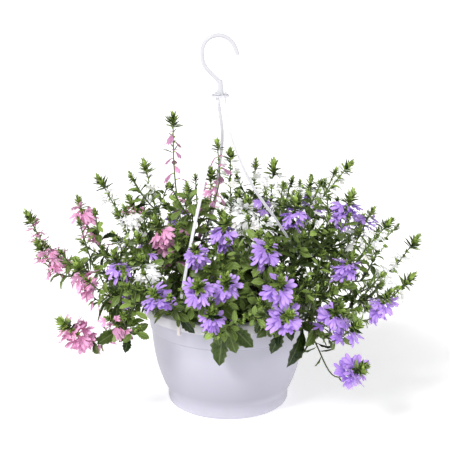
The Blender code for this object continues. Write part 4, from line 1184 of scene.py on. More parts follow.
def grow_plants():
    stems = {}
    for spray in SPRAYS:
        first = None
        for row in spray[2]:
            stem = grow_stem(spray, row, first)
            stem["rings"] = []
            first = first or stem
            stems[stem["name"]] = stem
    soil = [point for point in soil_profile() if point[0] > 0] + [(1, SOIL_TOP + 3)]
    keep(turned_shape(soil), "soil", "made")
    for name, part, forward, length in SET_LEAVES:
        grow_set_leaf(stems[name], part, Vector(forward), length)
    heads = [grow_head(number + 1, row, stems) for number, row in enumerate(HEADS)]
    for stem in stems.values():
        for number in range(stem["singles"]):
            below = (8 + SINGLE_SPACING * number + rng.uniform(0, 4)) * MM
            size = rng.uniform(0.55, 0.72)
            grow_on_bud(stem, path_length(stem["path"]) - below, 1, "single", size)
    for stem in stems.values():
        length = path_length(stem["path"])
        first = stem["radii"][0] >= STEM_RADIUS * MM
        distance = (26.0 if first else 20.0) * MM
        pair = 2 if first else 1
        while distance < length - 30 * MM:
            size = rng.uniform(44, 56) * (1 - 0.45 * distance / length) * MM
            grow_on_bud(stem, distance, pair, "leaf", size)
            pair = 1
            distance += LEAF_SPACING * rng.uniform(0.85, 1.15) * MM
    return stems, heads


keep(turned_shape([point for point in pot_outline if point[0] > 0]), "pot", "made")
for degrees in STRAP_TURNS:
    keep(strap_strip(degrees), f"strap_{degrees}", "made")
stems, heads = grow_plants()
print("stems:", len(stems), "heads:", len(heads), "flowers:", sum(len(head["flowers"]) for head in heads))

# %% [markdown]
# ## Finished pieces
# A few helpers are used for every piece from here on. They turn points and faces into an object, replace an
# object's mesh by what its modifiers make of it, coat it with a finish, and hand it to the frame: the piece
# rides on the part's only body, and the CAD node that it stands for is hidden.

# %% Helpers for pieces
workshop = bpy.data.collections.new("workshop")
scene.collection.children.link(workshop)


def shelf(name):
    """A collection for shapes that are only needed while a piece is made."""
    made = bpy.data.collections.new(name)
    workshop.children.link(made)
    return made


def new_object(name, points, faces, edges=(), collection=None):
    mesh = bpy.data.meshes.new(name)
    mesh.from_pydata([tuple(point) for point in points], list(edges), faces)
    made = bpy.data.objects.new(name, mesh)
    (collection or scene.collection).objects.link(made)
    return made


def settle(piece):
    """Applies the modifiers, so that the piece is a plain mesh."""
    ready = piece.evaluated_get(bpy.context.evaluated_depsgraph_get())
    result = bpy.data.meshes.new_from_object(ready)
    piece.modifiers.clear()
    old = piece.data
    piece.data = result
    bpy.data.meshes.remove(old)
    result.name = piece.name
    return piece


def smooth(piece, degrees):
    piece.data.shade_smooth()
    piece.data.set_sharp_from_angle(angle=math.radians(degrees))


def coat(piece, degrees, finish):
    """Shades the piece smooth but for its sharper edges, and gives it one finish."""
    smooth(piece, degrees)
    piece.data.materials.clear()
    piece.data.materials.append(finish)


def dress(piece, slot, *nodes):
    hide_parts(*nodes)
    hand_over(piece)


def hand_over(piece):
    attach(piece, "root")
    print(piece.name, "faces:", len(piece.data.polygons))


# %% [markdown]
# ## The pot
# The pot is a body of revolution, so one outline and a Screw modifier make all of it: floor, wall, crease,
# folded rim with its hanging skirt, and foot band. The outline is the CAD one with more points on the bowed
# wall and a softer hollow above the foot. A Bevel modifier rounds the moulded edges, which catch the light.

# %% The pot
FINE_STEPS = 144
SOFT_FOOT = [(101.2, 31), (99.2, 27), (97.5, 24), (96.2, 21.5), (95.5, 19), (95.3, 16), (95.4, 12),
             (95.5, 8), (95.0, 4.5), (93.6, 2), (91.6, 0.5), (90.4, 0), (0, 0)]


def fine_outline():
    inside, rim, outside = pot_profile()[:3]
    heights = [36 + (CREASE_HEIGHT - 36.8) * k / 12 for k in range(13)]
    wall = [(wall_radius(height), height) for height in reversed(heights)]
    return inside + rim + outside[:1] + wall + SOFT_FOOT


def turned(name, outline, steps):
    """An outline of radius and height in millimetres, turned by a Screw modifier."""
    points = [(radius * MM, 0, height * MM) for radius, height in reversed(outline)]
    piece = new_object(name, points, [], [(k, k + 1) for k in range(len(points) - 1)])
    screw = piece.modifiers.new("turn", "SCREW")
    screw.steps = steps
    screw.render_steps = steps
    screw.use_merge_vertices = True
    screw.merge_threshold = 0.00001
    screw.use_normal_calculate = True
    return piece


def round_edges(piece, width, degrees):
    bevel = piece.modifiers.new("round", "BEVEL")
    bevel.width = width * MM
    bevel.segments = 2
    bevel.limit_method = "ANGLE"
    bevel.angle_limit = math.radians(degrees)


pot = turned("hanging_pot", fine_outline(), FINE_STEPS)
round_edges(pot, 0.7, 28)
settle(pot)
coat(pot, 50, POT_PLASTIC)
dress(pot, "pot_plastic", "pot")

# %% [markdown]
# ## The soil
# The soil's body is turned like the pot, with many rings on top, so that waves and a little chance can lift
# and lower it. It stays level at its edge, where it meets the wall.

# %% The soil
TOP_RINGS = 26
WAVY_RADIUS = 112.0
WAVE_HEIGHT = 1.6
WAVE_SHIFT = Vector((3.1, 7.7, 1.3))


def soil_outline():
    coarse = soil_profile()
    radius, height = coarse[-2]
    rings = [(radius * (1 - k / TOP_RINGS), height + 3 * k / TOP_RINGS) for k in range(1, TOP_RINGS)]
    return coarse[:-1] + rings + coarse[-1:]


def rough_soil():
    soil = settle(turned("soil", soil_outline(), 96))
    for point in soil.data.vertices:
        if point.co.z > (SOIL_TOP - 0.5) * MM and point.co.xy.length < WAVY_RADIUS * MM:
            place = point.co * 90 + WAVE_SHIFT
            swell = math.sin(place.x * 2.3) * math.cos(place.y * 1.9)
            point.co.z += WAVE_HEIGHT * MM * (swell + math.sin(place.x * 5.1 + place.y * 4.3) * 0.6)
            point.co.z += rng.uniform(-0.5, 0.5) * MM
    coat(soil, 60, SOIL)
    return soil


soil = rough_soil()
dress(soil, "potting_soil", "potting_soil")

# %% [markdown]
# ## Crumbs on the soil
# A Geometry Nodes tree scatters crumbs over the top: points on its faces, one of three lumps on each, turned
# and sized at random by a fixed seed. Crumbs repeat by the hundred, so each is a lump of 20 faces.

# %% Lumps
CRUMB_KINDS = 3


def crumb_shapes(collection):
    """Uneven lumps, each about one unit across."""
    for number in range(CRUMB_KINDS):
        bpy.ops.mesh.primitive_ico_sphere_add(subdivisions=1, radius=0.5)
        lump = bpy.context.object
        lump.name = f"crumb_{number}"
        lump.users_collection[0].objects.unlink(lump)
        collection.objects.link(lump)
        for point in lump.data.vertices:
            point.co *= rng.uniform(0.7, 1.15)
            point.co.z *= 0.55 + 0.2 * number


crumb_kinds = shelf("crumb_kinds")
crumb_shapes(crumb_kinds)

# %% A class for trees


class Tree:
    """A Geometry Nodes group under construction, with named inputs."""

    def __init__(self, name, inputs):
        self.group = bpy.data.node_groups.new(name, "GeometryNodeTree")
        self.nodes = self.group.nodes
        face = self.group.interface
        face.new_socket("Geometry", in_out="INPUT", socket_type="NodeSocketGeometry")
        self.keys = {}
        for label, kind in inputs.items():
            made = face.new_socket(label, in_out="INPUT", socket_type=f"NodeSocket{kind}")
            self.keys[label] = made.identifier
        face.new_socket("Geometry", in_out="OUTPUT", socket_type="NodeSocketGeometry")
        self.inputs = self.group.nodes.new("NodeGroupInput").outputs
        self.end = self.group.nodes.new("NodeGroupOutput").inputs[0]

    def node(self, kind, settings=None, values=None, out=0):
        """Adds a node and gives one of its outputs, the first that its settings show if none is named."""
        outputs = add_node(self, kind, settings, values).outputs
        return find_socket(outputs, out) if out else next(socket for socket in outputs if socket.enabled)

    def feed(self, socket, value):
        if isinstance(value, list):
            for source in value:
                self.group.links.new(source, socket)
        elif isinstance(value, bpy.types.NodeSocket):
            self.group.links.new(value, socket)
        else:
            socket.default_value = value

    def field(self, name, kind="FLOAT"):
        return self.node("GeometryNodeInputNamedAttribute", {"data_type": kind}, {"Name": name})

    def chance(self, low, high, seed, kind="FLOAT"):
        values = {"Min": low, "Max": high, "Seed": seed}
        return self.node("FunctionNodeRandomValue", {"data_type": kind}, values)

    def shapes(self, collection):
        """The objects of a collection, each to be picked by its number."""
        values = {"Collection": collection, "Separate Children": True, "Reset Children": True}
        return self.node("GeometryNodeCollectionInfo", values=values)

    def finished(self, geometry, finish, which=None):
        values = {"Geometry": geometry, "Material": finish}
        if which is not None:
            values["Selection"] = which
        return self.node("GeometryNodeSetMaterial", values=values)

    def put_on(self, piece, values):
        """Puts the tree on a piece as a modifier, with each input set by its identifier."""
        modifier = piece.modifiers.new(self.group.name, "NODES")
        modifier.node_group = self.group
        for label, value in values.items():
            modifier[self.keys[label]] = value


# %% [markdown]
# The crumbs lie on a copy of the soil's skin, only where it is the top, and become a piece of their own.

# %% The crumbs


def crumb_tree():
    inputs = {"Crumbs": "Collection", "Per square metre": "Float", "Smallest": "Float",
              "Largest": "Float", "Lowest": "Float", "Finish": "Material"}
    tree = Tree("scatter_crumbs", inputs)
    here = tree.node("GeometryNodeInputPosition")
    height = tree.node("ShaderNodeSeparateXYZ", values={"Vector": here}, out="Z")
    upper = tree.node("FunctionNodeCompare", {"data_type": "FLOAT", "operation": "GREATER_THAN"},
                      {"A": height, "B": tree.inputs["Lowest"]})
    spots = tree.node("GeometryNodeDistributePointsOnFaces", values={
        "Mesh": tree.inputs["Geometry"], "Selection": upper,
        "Density": tree.inputs["Per square metre"], "Seed": 4})
    shaded = tree.node("GeometryNodeStoreNamedAttribute", {"data_type": "FLOAT", "domain": "POINT"}, {
        "Geometry": spots, "Name": "shade", "Value": tree.chance(0.0, 1.0, 8)})
    size = tree.chance(tree.inputs["Smallest"], tree.inputs["Largest"], 5)
    crumbs = tree.node("GeometryNodeInstanceOnPoints", values={
        "Points": shaded, "Instance": tree.shapes(tree.inputs["Crumbs"]), "Pick Instance": True,
        "Instance Index": tree.chance(0, CRUMB_KINDS - 1, 6, "INT"), "Scale": size,
        "Rotation": tree.chance((0, 0, 0), (6.28, 6.28, 6.28), 7, "FLOAT_VECTOR")})
    solid = tree.node("GeometryNodeRealizeInstances", values={"Geometry": crumbs})
    tree.feed(tree.end, tree.finished(solid, tree.inputs["Finish"]))
    return tree


crumbs = new_object("soil_crumbs", [], [])
crumbs.data = soil.data.copy()
crumbs.data.materials.clear()
crumb_tree().put_on(crumbs, {
    "Crumbs": crumb_kinds, "Per square metre": 34000.0, "Smallest": 0.0012, "Largest": 0.0042,
    "Lowest": (SOIL_TOP - 1.5) * MM, "Finish": CRUMBS})
settle(crumbs)
hand_over(crumbs)

# %% [markdown]
# ## The hook
# The hook is a bent rod that grows out of a short tapered shank on a round plate. A Bezier curve through the
# CAD points gives the bend, with a round bevel. The shank and the plate are turned from one outline with
# soft edges, and three slots are cut for the straps' heads.

# %% The hook


def bent_rod(name):
    curve = bpy.data.curves.new(name, "CURVE")
    curve.dimensions = "3D"
    curve.resolution_u = 6
    curve.bevel_depth = HOOK_WIRE * MM
    curve.bevel_resolution = 4
    curve.use_fill_caps = True
    line = curve.splines.new("BEZIER")
    line.bezier_points.add(len(HOOK_POINTS) - 1)
    for point, (x, z) in zip(line.bezier_points, HOOK_POINTS):
        point.co = (x * MM, 0, z * MM)
        point.handle_left_type = "AUTO"
        point.handle_right_type = "AUTO"
    rod = bpy.data.objects.new(name, curve)
    workshop.objects.link(rod)
    mesh = bpy.data.meshes.new_from_object(rod.evaluated_get(bpy.context.evaluated_depsgraph_get()))
    bpy.data.objects.remove(rod)
    clean_up(mesh)
    return mesh


def clean_up(mesh):
    """Merges doubles and turns the faces outwards."""
    shape = bmesh.new()
    shape.from_mesh(mesh)
    bmesh.ops.remove_doubles(shape, verts=shape.verts, dist=0.00001)
    bmesh.ops.recalc_face_normals(shape, faces=shape.faces)
    shape.to_mesh(mesh)
    shape.free()


def shank_outline():
    """Plate with soft edges and a collar, then the shank up to the rod."""
    base = HUB_Z
    top = HUB_Z + PLATE_THICK
    return [(0, base), (PLATE_RADIUS - 0.7, base), (PLATE_RADIUS, base + 0.7), (PLATE_RADIUS, top - 0.7),
            (PLATE_RADIUS - 0.7, top), (6.6, top), (5.9, top + 0.5), (5.5, top + 2.2), (5.0, top + 8),
            (4.2, top + 15), (3.7, top + 20), (3.3, top + 22.6), (0, top + 22.8)]


def add_box(target, place, turn, size):
    """A block of a size in millimetres, turned about its upright axis."""
    bpy.ops.mesh.primitive_cube_add(size=1, rotation=(0, 0, turn), location=place)
    box = bpy.context.object
    box.scale = [length * MM for length in size]
    box.users_collection[0].objects.unlink(box)
    target.objects.link(box)


def slot_boxes(target):
    size = (STRAP_THICK + 2 * FIT_GAP, STRAP_WIDTH + 2 * FIT_GAP, 4 * PLATE_THICK)
    for degrees in STRAP_TURNS:
        turn = math.radians(degrees)
        outward = Vector((math.cos(turn), math.sin(turn), 0)) * SLOT_RADIUS
        add_box(target, (Vector((HUB_X, 0, HUB_Z)) + outward) * MM, turn, size)


def combine(piece, operation, collection):
    boolean = piece.modifiers.new(operation.lower(), "BOOLEAN")
    boolean.operation = operation
    boolean.operand_type = "COLLECTION"
    boolean.collection = collection
    boolean.solver = "EXACT"


hook = turned("hanger_hook_fine", shank_outline(), 48)
settle(hook)
clean_up(hook.data)
hook.data.transform(Matrix.Translation((HUB_X * MM, 0, 0)))
rods = shelf("rods")
rods.objects.link(bpy.data.objects.new("rod", bent_rod("rod")))
combine(hook, "UNION", rods)
slots = shelf("slots")
slot_boxes(slots)
combine(hook, "DIFFERENCE", slots)
settle(hook)
coat(hook, 40, HANGER_PLASTIC)
dress(hook, "hanger_plastic", "hanger_hook")

# %% [markdown]
# ## The straps
# Each strap is a flat moulded strip that bows on its way from the plate to the rim, lies over its edge and
# ends in a catch under the skirt. The loft from above follows a smooth curve through the CAD points, with a
# thickened edge along both sides.

# %% The straps
STRAP_SECTION = ((-0.5, -0.5), (-0.34, -0.5), (-0.26, -0.3), (0.26, -0.3), (0.34, -0.5), (0.5, -0.5),
                 (0.5, 0.5), (0.34, 0.5), (0.26, 0.3), (-0.26, 0.3), (-0.34, 0.5), (-0.5, 0.5))


def through(points, steps):
    """A smooth path through all the points."""
    path = []
    last = len(points) - 1
    for index in range(last):
        before = points[max(index - 1, 0)]
        a, b = points[index], points[index + 1]
        after = points[min(index + 2, last)]
        for k in range(steps):
            t = k / steps
            bend = (a * 2 + (b - before) * t + (before * 2 - a * 5 + b * 4 - after) * t * t
                    + (a * 3 - before - b * 3 + after) * t ** 3)
            path.append(bend * 0.5)
    return path + [points[last]]


def strap_ends(path, outward, target):
    """The head above the plate, and the catch that hooks under the rim's skirt."""
    turn = math.atan2(outward.y, outward.x)
    add_box(target, path[0] + UP * 0.45 * MM, turn, (3.4, 9, 2.2))
    add_box(target, path[-1] + UP * 1.6 * MM - outward * 2.6 * MM, turn, (5.6, 4.2, 2.2))


def make_strap(number, degrees):
    path, outward = strap_path(degrees)
    sides = strap_sides(degrees, path, outward)
    fine, fine_sides = (row[:1] + through(row[1:-1], 7) + row[-1:] for row in (path, sides))
    points, faces = loft(fine, fine_sides, STRAP_SECTION, STRAP_WIDTH * MM, STRAP_THICK * MM)
    strap = new_object(f"strap_fine_{number}", points, faces)
    clean_up(strap.data)
    ends = shelf(f"ends_{number}")
    strap_ends(path, outward, ends)
    combine(strap, "UNION", ends)
    settle(strap)
    round_edges(strap, 0.22, 40)
    settle(strap)
    coat(strap, 40, HANGER_PLASTIC)
    dress(strap, "hanger_plastic", f"hanger_strap_{number}")


for number, degrees in enumerate(STRAP_TURNS):
    make_strap(number + 1, degrees)

# %% [markdown]
# ## One blade, many uses
# A leaf, a bract and each lobe of a flower are the same kind of shape: a thin closed blade that widens and
# narrows, folds along its midline and bends back. One function makes that skin from a row of stations, each a
# distance along the blade and the half width there. Uneven widths give a leaf its teeth.

# %% Blades


def blade_skin(stations, tip, thick, height, place):
    """Points, faces and spots of a closed blade from its root to its tip."""
    points = [place(0, 0, height(0, 0))]
    spots = [(0, 0, 0)]
    for x, half in stations:
        for across, lift in ((1, 0), (0, thick), (-1, 0), (0, -thick)):
            points.append(place(x, across * half, height(x, across) + lift))
            spots.append((x / tip, across, 0))
    points.append(place(tip, 0, height(tip, 0)))
    spots.append((1, 0, 0))
    last = len(points) - 1
    faces = [(0, 3, 2), (0, 2, 1), (0, 4, 3), (0, 1, 4)]
    for low in range(1, last - 4, 4):
        high = low + 4
        faces += [(low + 2, high + 2, high + 1, low + 1), (low + 1, high + 1, high, low),
                  (low + 2, low + 3, high + 3, high + 2), (low + 3, low, high, high + 3)]
    end = last - 4
    faces += [(end + 2, last, end + 1), (end + 1, last, end), (end + 2, end + 3, last), (end + 3, end, last)]
    return points, faces, spots


def add_skin(whole, skin):
    points, faces, spots = skin
    first = len(whole[0])
    whole[0].extend(points)
    whole[1].extend(tuple(index + first for index in face) for face in faces)
    whole[2].extend(spots)


def shape_object(name, whole, collection, calyx_faces=0):
    """A hidden shape, with its spots, whose last faces may be a green calyx."""
    points, faces, spots = whole
    made = new_object(name, points, faces, collection=collection)
    mesh = made.data
    spot = mesh.attributes.new("spot", "FLOAT_VECTOR", "POINT")
    spot.data.foreach_set("vector", [value for row in spots for value in row])
    calyx = mesh.attributes.new("calyx", "BOOLEAN", "FACE")
    first = len(faces) - calyx_faces
    calyx.data.foreach_set("value", [index >= first for index in range(len(faces))])
    smooth(made, 60)
    return made


LEAF_STATIONS = ((0.06, 0.018), (0.22, 0.045), (0.36, 0.115), (0.46, 0.185), (0.515, 0.165), (0.60, 0.245),
                 (0.655, 0.195), (0.73, 0.225), (0.785, 0.165), (0.87, 0.145), (0.92, 0.085))
BRACT_STATIONS = ((0.10, 0.10), (0.30, 0.175), (0.50, 0.20), (0.58, 0.135), (0.78, 0.075))


def leaf_shape(name, collection, stations, thick, bend, fold, wave=0.0):
    """One blade that bends up or down, folds up from its midline and may be wavy at its edge."""
    def height(x, across):
        ripple = wave * math.sin(x * 17 + across * 1.6) * abs(across)
        return bend * x * x + fold * abs(across) * x * (1 - x) + ripple

    skin = blade_skin(stations, 1.0, thick, height, lambda x, y, z: (x, y, z))
    return shape_object(name, skin, collection)


leaf_kinds = shelf("leaf_kinds")
for number, row in enumerate(((-0.10, 0.30, 0.012), (-0.22, 0.22, 0.02), (-0.34, 0.36, 0.016))):
    leaf_shape(f"leaf_{number}", leaf_kinds, LEAF_STATIONS, 0.009, *row)
bract_kinds = shelf("bract_kinds")
for number, row in enumerate(((0.24, 0.35), (0.12, 0.25), (0.02, 0.3))):
    leaf_shape(f"bract_{number}", bract_kinds, BRACT_STATIONS, 0.022, *row)

# %% [markdown]
# ## The fan flower
# The flower is a narrow tube that is slit along its top and opens into five lobes on one side, like a hand.
# The lobes touch near the palm and part towards their rounded tips. Each lobe is one blade turned about the
# palm, and the tube and its small green calyx are two short rings of faces. Five kinds differ in how
# far the lobes spread, droop and ripple, and the last of them is half closed.

# %% Flower shapes
LOBE_STATIONS = ((1.0, 0.7), (6.0, 1.7), (11.0, 2.65), (15.2, 2.95), (17.8, 1.7))
LOBE_TIP = 19.2
LOBE_THICK = 0.08
TUBE_RINGS = ((-2.6, 0.8), (1.2, 0.9), (4.2, 1.1), (7.3, 2.0))
CALYX_RINGS = ((-2.7, 0.6), (-1.2, 1.5), (1.6, 1.45), (2.6, 1.0))


def turned_rings(rings, sides, droop):
    """A tube of rings along X, open at neither end."""
    points, faces, spots = [], [], []
    for x, radius in rings:
        for k in range(sides):
            turn = 2 * math.pi * k / sides
            points.append(Vector((x, radius * math.cos(turn), radius * math.sin(turn) - droop * x * x)) * MM)
            spots.append((0.3, 0.5, 0))
    for index in range(len(rings) - 1):
        for k in range(sides):
            low = index * sides
            after = (k + 1) % sides
            faces.append((low + k, low + after, low + sides + after, low + sides + k))
    last = (len(rings) - 1) * sides
    faces.append(tuple(reversed(range(sides))))
    faces.append(tuple(range(last, last + sides)))
    return points, faces, spots


def lobe_skin(index, uneven, spread, droop, ripple):
    """One uneven lobe, turned about the palm, hollow along its middle and waved at its edge."""
    degrees, length = LOBES[index]
    turn = math.radians(degrees * spread + uneven.uniform(-4, 4))
    stretch = length / 18.2 * uneven.uniform(0.93, 1.05)
    wide = uneven.uniform(0.88, 1.08) * (0.6 + 0.4 * spread)
    bend = uneven.uniform(-0.010, 0.010)
    curl = uneven.uniform(-0.008, 0.010)

    def place(x, y, z):
        out, own = x * stretch, y * wide + bend * x * x
        along = PALM_REACH + out * math.cos(turn) - own * math.sin(turn)
        aside = out * math.sin(turn) + own * math.cos(turn)
        sag = droop * (along * along + aside * aside) + curl * x * x
        return Vector((along, aside, z - sag)) * MM

    def height(x, across):
        wave = ripple * math.sin(x * 0.7 + index * 1.7 + across * 2) * abs(across) * x / 14
        return 0.12 - 0.14 * (1 - abs(across)) + wave + 0.06 * (index % 2) * x / 4

    return blade_skin(LOBE_STATIONS, LOBE_TIP, LOBE_THICK, height, place)


def flower_shape(name, collection, spread, droop, ripple, seed):
    """Five lobes round a palm, the tube behind them and the calyx at its foot."""
    uneven = random.Random(seed)
    whole = ([], [], [])
    for index in range(len(LOBES)):
        add_skin(whole, lobe_skin(index, uneven, spread, droop, ripple))
    add_skin(whole, turned_rings(TUBE_RINGS, 5, droop))
    before = len(whole[1])
    add_skin(whole, turned_rings(CALYX_RINGS, 5, droop))
    return shape_object(name, whole, collection, len(whole[1]) - before)


flower_kinds = shelf("flower_kinds")
FLOWER_KINDS = ((0.9, 0.012, 0.6), (0.8, 0.02, 0.8), (1.0, 0.006, 0.6), (0.86, -0.004, 0.9), (0.5, 0.03, 0.9))
for number, row in enumerate(FLOWER_KINDS):
    flower_shape(f"flower_{number}", flower_kinds, *row, number + 1)

# %% [markdown]
# ## Trees that set the plant out
# Every leaf, bract and flower is a point with a turn, a size, a shade and a kind. One small tree puts the
# shapes on those points and makes them real, and a second does the same for flowers, which have a colour
# too. A third turns a spray's lines into stems and joins the rest to them, so all of it is made in one go.

# %% Trees for blades, flowers and sprays


def set_out(tree, points, shapes):
    """Shapes on points, turned, sized and picked by the points' own attributes."""
    placed_shapes = tree.node("GeometryNodeInstanceOnPoints", values={
        "Points": points, "Instance": tree.shapes(shapes), "Pick Instance": True,
        "Instance Index": tree.field("kind", "INT"), "Rotation": tree.field("turn", "QUATERNION"),
        "Scale": tree.field("size")})
    return tree.node("GeometryNodeRealizeInstances", values={"Geometry": placed_shapes})


def blade_tree():
    tree = Tree("blades_on_points", {"Shapes": "Collection", "Finish": "Material"})
    solid = set_out(tree, tree.inputs["Geometry"], tree.inputs["Shapes"])
    tree.feed(tree.end, tree.finished(solid, tree.inputs["Finish"]))
    return tree


def flower_tree():
    inputs = {"Shapes": "Collection", "Calyx finish": "Material"}
    tree = Tree("flowers_on_points", inputs | dict.fromkeys(PETAL_FINISHES, "Material"))
    solid = set_out(tree, tree.inputs["Geometry"], tree.inputs["Shapes"])
    for number, label in enumerate(PETAL_FINISHES):
        same = tree.node("FunctionNodeCompare", {"data_type": "INT", "operation": "EQUAL"},
                         {"A": tree.field("colour", "INT"), "B": number})
        solid = tree.finished(solid, tree.inputs[label], same)
    solid = tree.finished(solid, tree.inputs["Calyx finish"], tree.field("calyx", "BOOLEAN"))
    tree.feed(tree.end, solid)
    return tree


BLADE_TREE = blade_tree()
FLOWER_TREE = flower_tree()


def group_node(tree, inner, geometry, values):
    """A finished tree used as one node of another."""
    made = tree.group.nodes.new("GeometryNodeGroup")
    made.node_tree = inner.group
    tree.feed(made.inputs["Geometry"], geometry)
    for label, value in values.items():
        tree.feed(made.inputs[label], value)
    return made.outputs[0]


def spray_tree():
    inputs = {"Sides": "Int", "Stem finish": "Material", "Leaf places": "Object", "Leaf shapes": "Collection",
              "Leaf finish": "Material", "Bract places": "Object", "Bract shapes": "Collection",
              "Bract finish": "Material", "Flower places": "Object", "Flower shapes": "Collection"}
    tree = Tree("leafy_spray", inputs | dict.fromkeys(PETAL_FINISHES, "Material"))
    lines = tree.node("GeometryNodeMeshToCurve", values={"Mesh": tree.inputs["Geometry"]})
    circle = tree.node("GeometryNodeCurvePrimitiveCircle", values={
        "Resolution": tree.inputs["Sides"], "Radius": 1.0})
    tubes = tree.node("GeometryNodeCurveToMesh", values={
        "Curve": lines, "Profile Curve": circle, "Scale": tree.field("thick"), "Fill Caps": True})
    parts = [tree.finished(tubes, tree.inputs["Stem finish"])]
    for kind in ("Leaf", "Bract"):
        points = tree.node("GeometryNodeObjectInfo", values={"Object": tree.inputs[f"{kind} places"]},
                           out="Geometry")
        parts.append(group_node(tree, BLADE_TREE, points, {
            "Shapes": tree.inputs[f"{kind} shapes"], "Finish": tree.inputs[f"{kind} finish"]}))
    points = tree.node("GeometryNodeObjectInfo", values={"Object": tree.inputs["Flower places"]},
                       out="Geometry")
    petals = {label: tree.inputs[label] for label in PETAL_FINISHES}
    parts.append(group_node(tree, FLOWER_TREE, points, {
        "Shapes": tree.inputs["Flower shapes"], "Calyx finish": tree.inputs["Bract finish"], **petals}))
    joined = tree.node("GeometryNodeJoinGeometry", values={"Geometry": parts})
    tree.feed(tree.end, tree.node("GeometryNodeSetShadeSmooth", values={"Geometry": joined}))
    return tree


SPRAY_TREE = spray_tree()
print("trees:", len(bpy.data.node_groups))

# %% [markdown]
# ## Smooth stems
# The CAD stems are straight between a few points. The finer ones follow the same Bezier curves with more
# points, so they bend evenly. What a stem carries moves with it, by the small distance between the two.

# %% Smooth stems
CURVE_STEPS = 14
GOLDEN_TURN = math.radians(137.5)
BARE_STEMS = ("U15", "P7", "P8")
TALL_STEMS = ("P7", "P8", "P10")
FULL_STEMS = {"W5": 11, "W6": 10, "U17": 11, "W12": 10, "W13": 6, "U16": 7, "U13": 10, "U1": 10,
              "W16": 7, "W14": 6, "W11": 8, "P1": 10}


def fine_path(stem):
    """The stem's smooth line from under the soil to the base of its tuft."""
    curve = [bezier(*stem["controls"], k / CURVE_STEPS) for k in range(CURVE_STEPS + 1)]
    start = [stem["path"][0]] if stem["root"] else []
    return start + curve + [stem["path"][-1]]


def nearest(path, point):
    """The nearest place on a path, and the path's direction there."""
    best = None
    for a, b in zip(path, path[1:]):
        span = b - a
        part = max(0.0, min(1.0, (point - a).dot(span) / span.length_squared))
        spot = a + span * part
        gap = (point - spot).length
        if best is None or gap < best[0]:
            best = (gap, spot, span.normalized())
    return best[1], best[2]


def shifted(place, stem):
    """A blade's matrix, moved with its stem from the straight line to the smooth one."""
    foot = place.translation
    moved = place.copy()
    moved.translation = foot + nearest(stem["fine"], foot)[0] - nearest(stem["path"], foot)[0]
    return moved


for stem in stems.values():
    stem["fine"] = fine_path(stem)
    stem["long"] = path_length(stem["fine"])
print("points of a stem:", len(stems["U1"]["fine"]))

# %% [markdown]
# ## Where bracts stand
# Each stem ends in a tuft: a tight spiral of toothed bracts, flat at its foot and upright at its tip, turned
# by the golden angle from one to the next. Below it, small bracts climb the stem on the same spiral.

# %% Places of bracts
detail = random.Random(23)


def row_of(place, size, shade, kind, colour=0):
    return {"place": place, "size": size, "shade": shade, "kind": kind, "colour": colour}


def pointing(origin, along, side, turn, lift):
    """Matrix of a blade that leaves a stem at a turn round it and a lift from square."""
    across = along.cross(side)
    out = side * math.cos(turn) + across * math.sin(turn)
    forward = out * math.cos(lift) + along * math.sin(lift)
    return axes(origin, forward, along)


def tuft_bracts(stem):
    tuft = max(stem["tuft"], 0.55)
    base = stem["fine"][-1]
    along = (base - stem["fine"][-2]).normalized()
    side = stem["sides"][-1][1]
    high = 13.5 * tuft * MM
    count = 34 if tuft >= SMALL_TUFT else 25
    rows = []
    for k in range(count):
        part = k / (count - 1)
        lift = math.radians(2 + 64 * part + detail.uniform(-14, 14))
        origin = base + along * high * (part - 0.1)
        size = (14.4 - 3.4 * part) * detail.uniform(0.78, 1.12) * tuft * MM
        shade = min(1.0, max(0.0, 0.25 + 0.4 * part + detail.uniform(-0.45, 0.45)))
        turn = k * GOLDEN_TURN + detail.uniform(-0.2, 0.2)
        rows.append(row_of(pointing(origin, along, side, turn, lift), size, shade, detail.randrange(3)))
    return rows


def stem_bracts(stem):
    """Small bracts from a third of the way up to the tuft."""
    rows = []
    below = 5.0 * MM
    turn = detail.uniform(0, 6)
    lowest = (40 if stem["name"] in BARE_STEMS else 120) * MM
    while below < min(stem["long"] * 0.7, lowest):
        origin, along = along_path(stem["fine"], stem["long"] - below)[:2]
        side = along.orthogonal().normalized()
        size = detail.uniform(8.0, 13.5) * MM
        lift = math.radians(detail.uniform(14, 52))
        shade = detail.uniform(0.0, 0.6)
        rows.append(row_of(pointing(origin, along, side, turn, lift), size, shade, detail.randrange(3)))
        turn += GOLDEN_TURN
        below += detail.uniform(4.5, 8.0) * MM
    return rows


# %% [markdown]
# ## Where leaves stand
# More leaves fill the plant's inside, large near the soil and small near the flowers, each kept only where it
# is clear of the pot, the straps, the petals and the leaves before it. A few large ones hang over the rim,
# and the CAD model's own leaves keep their places.

# %% Places of leaves
CROWN_RADIUS = 0.26
LARGE_LEAF = 45.0


def takes_room(blade, kind, margin=0.2 * MM):
    """Keeps a blade and is true if it crosses nothing that is there already."""
    clear = is_clear(free_blade(blade, margin))
    if clear:
        keep(free_blade(blade), "fill", kind)
    return clear


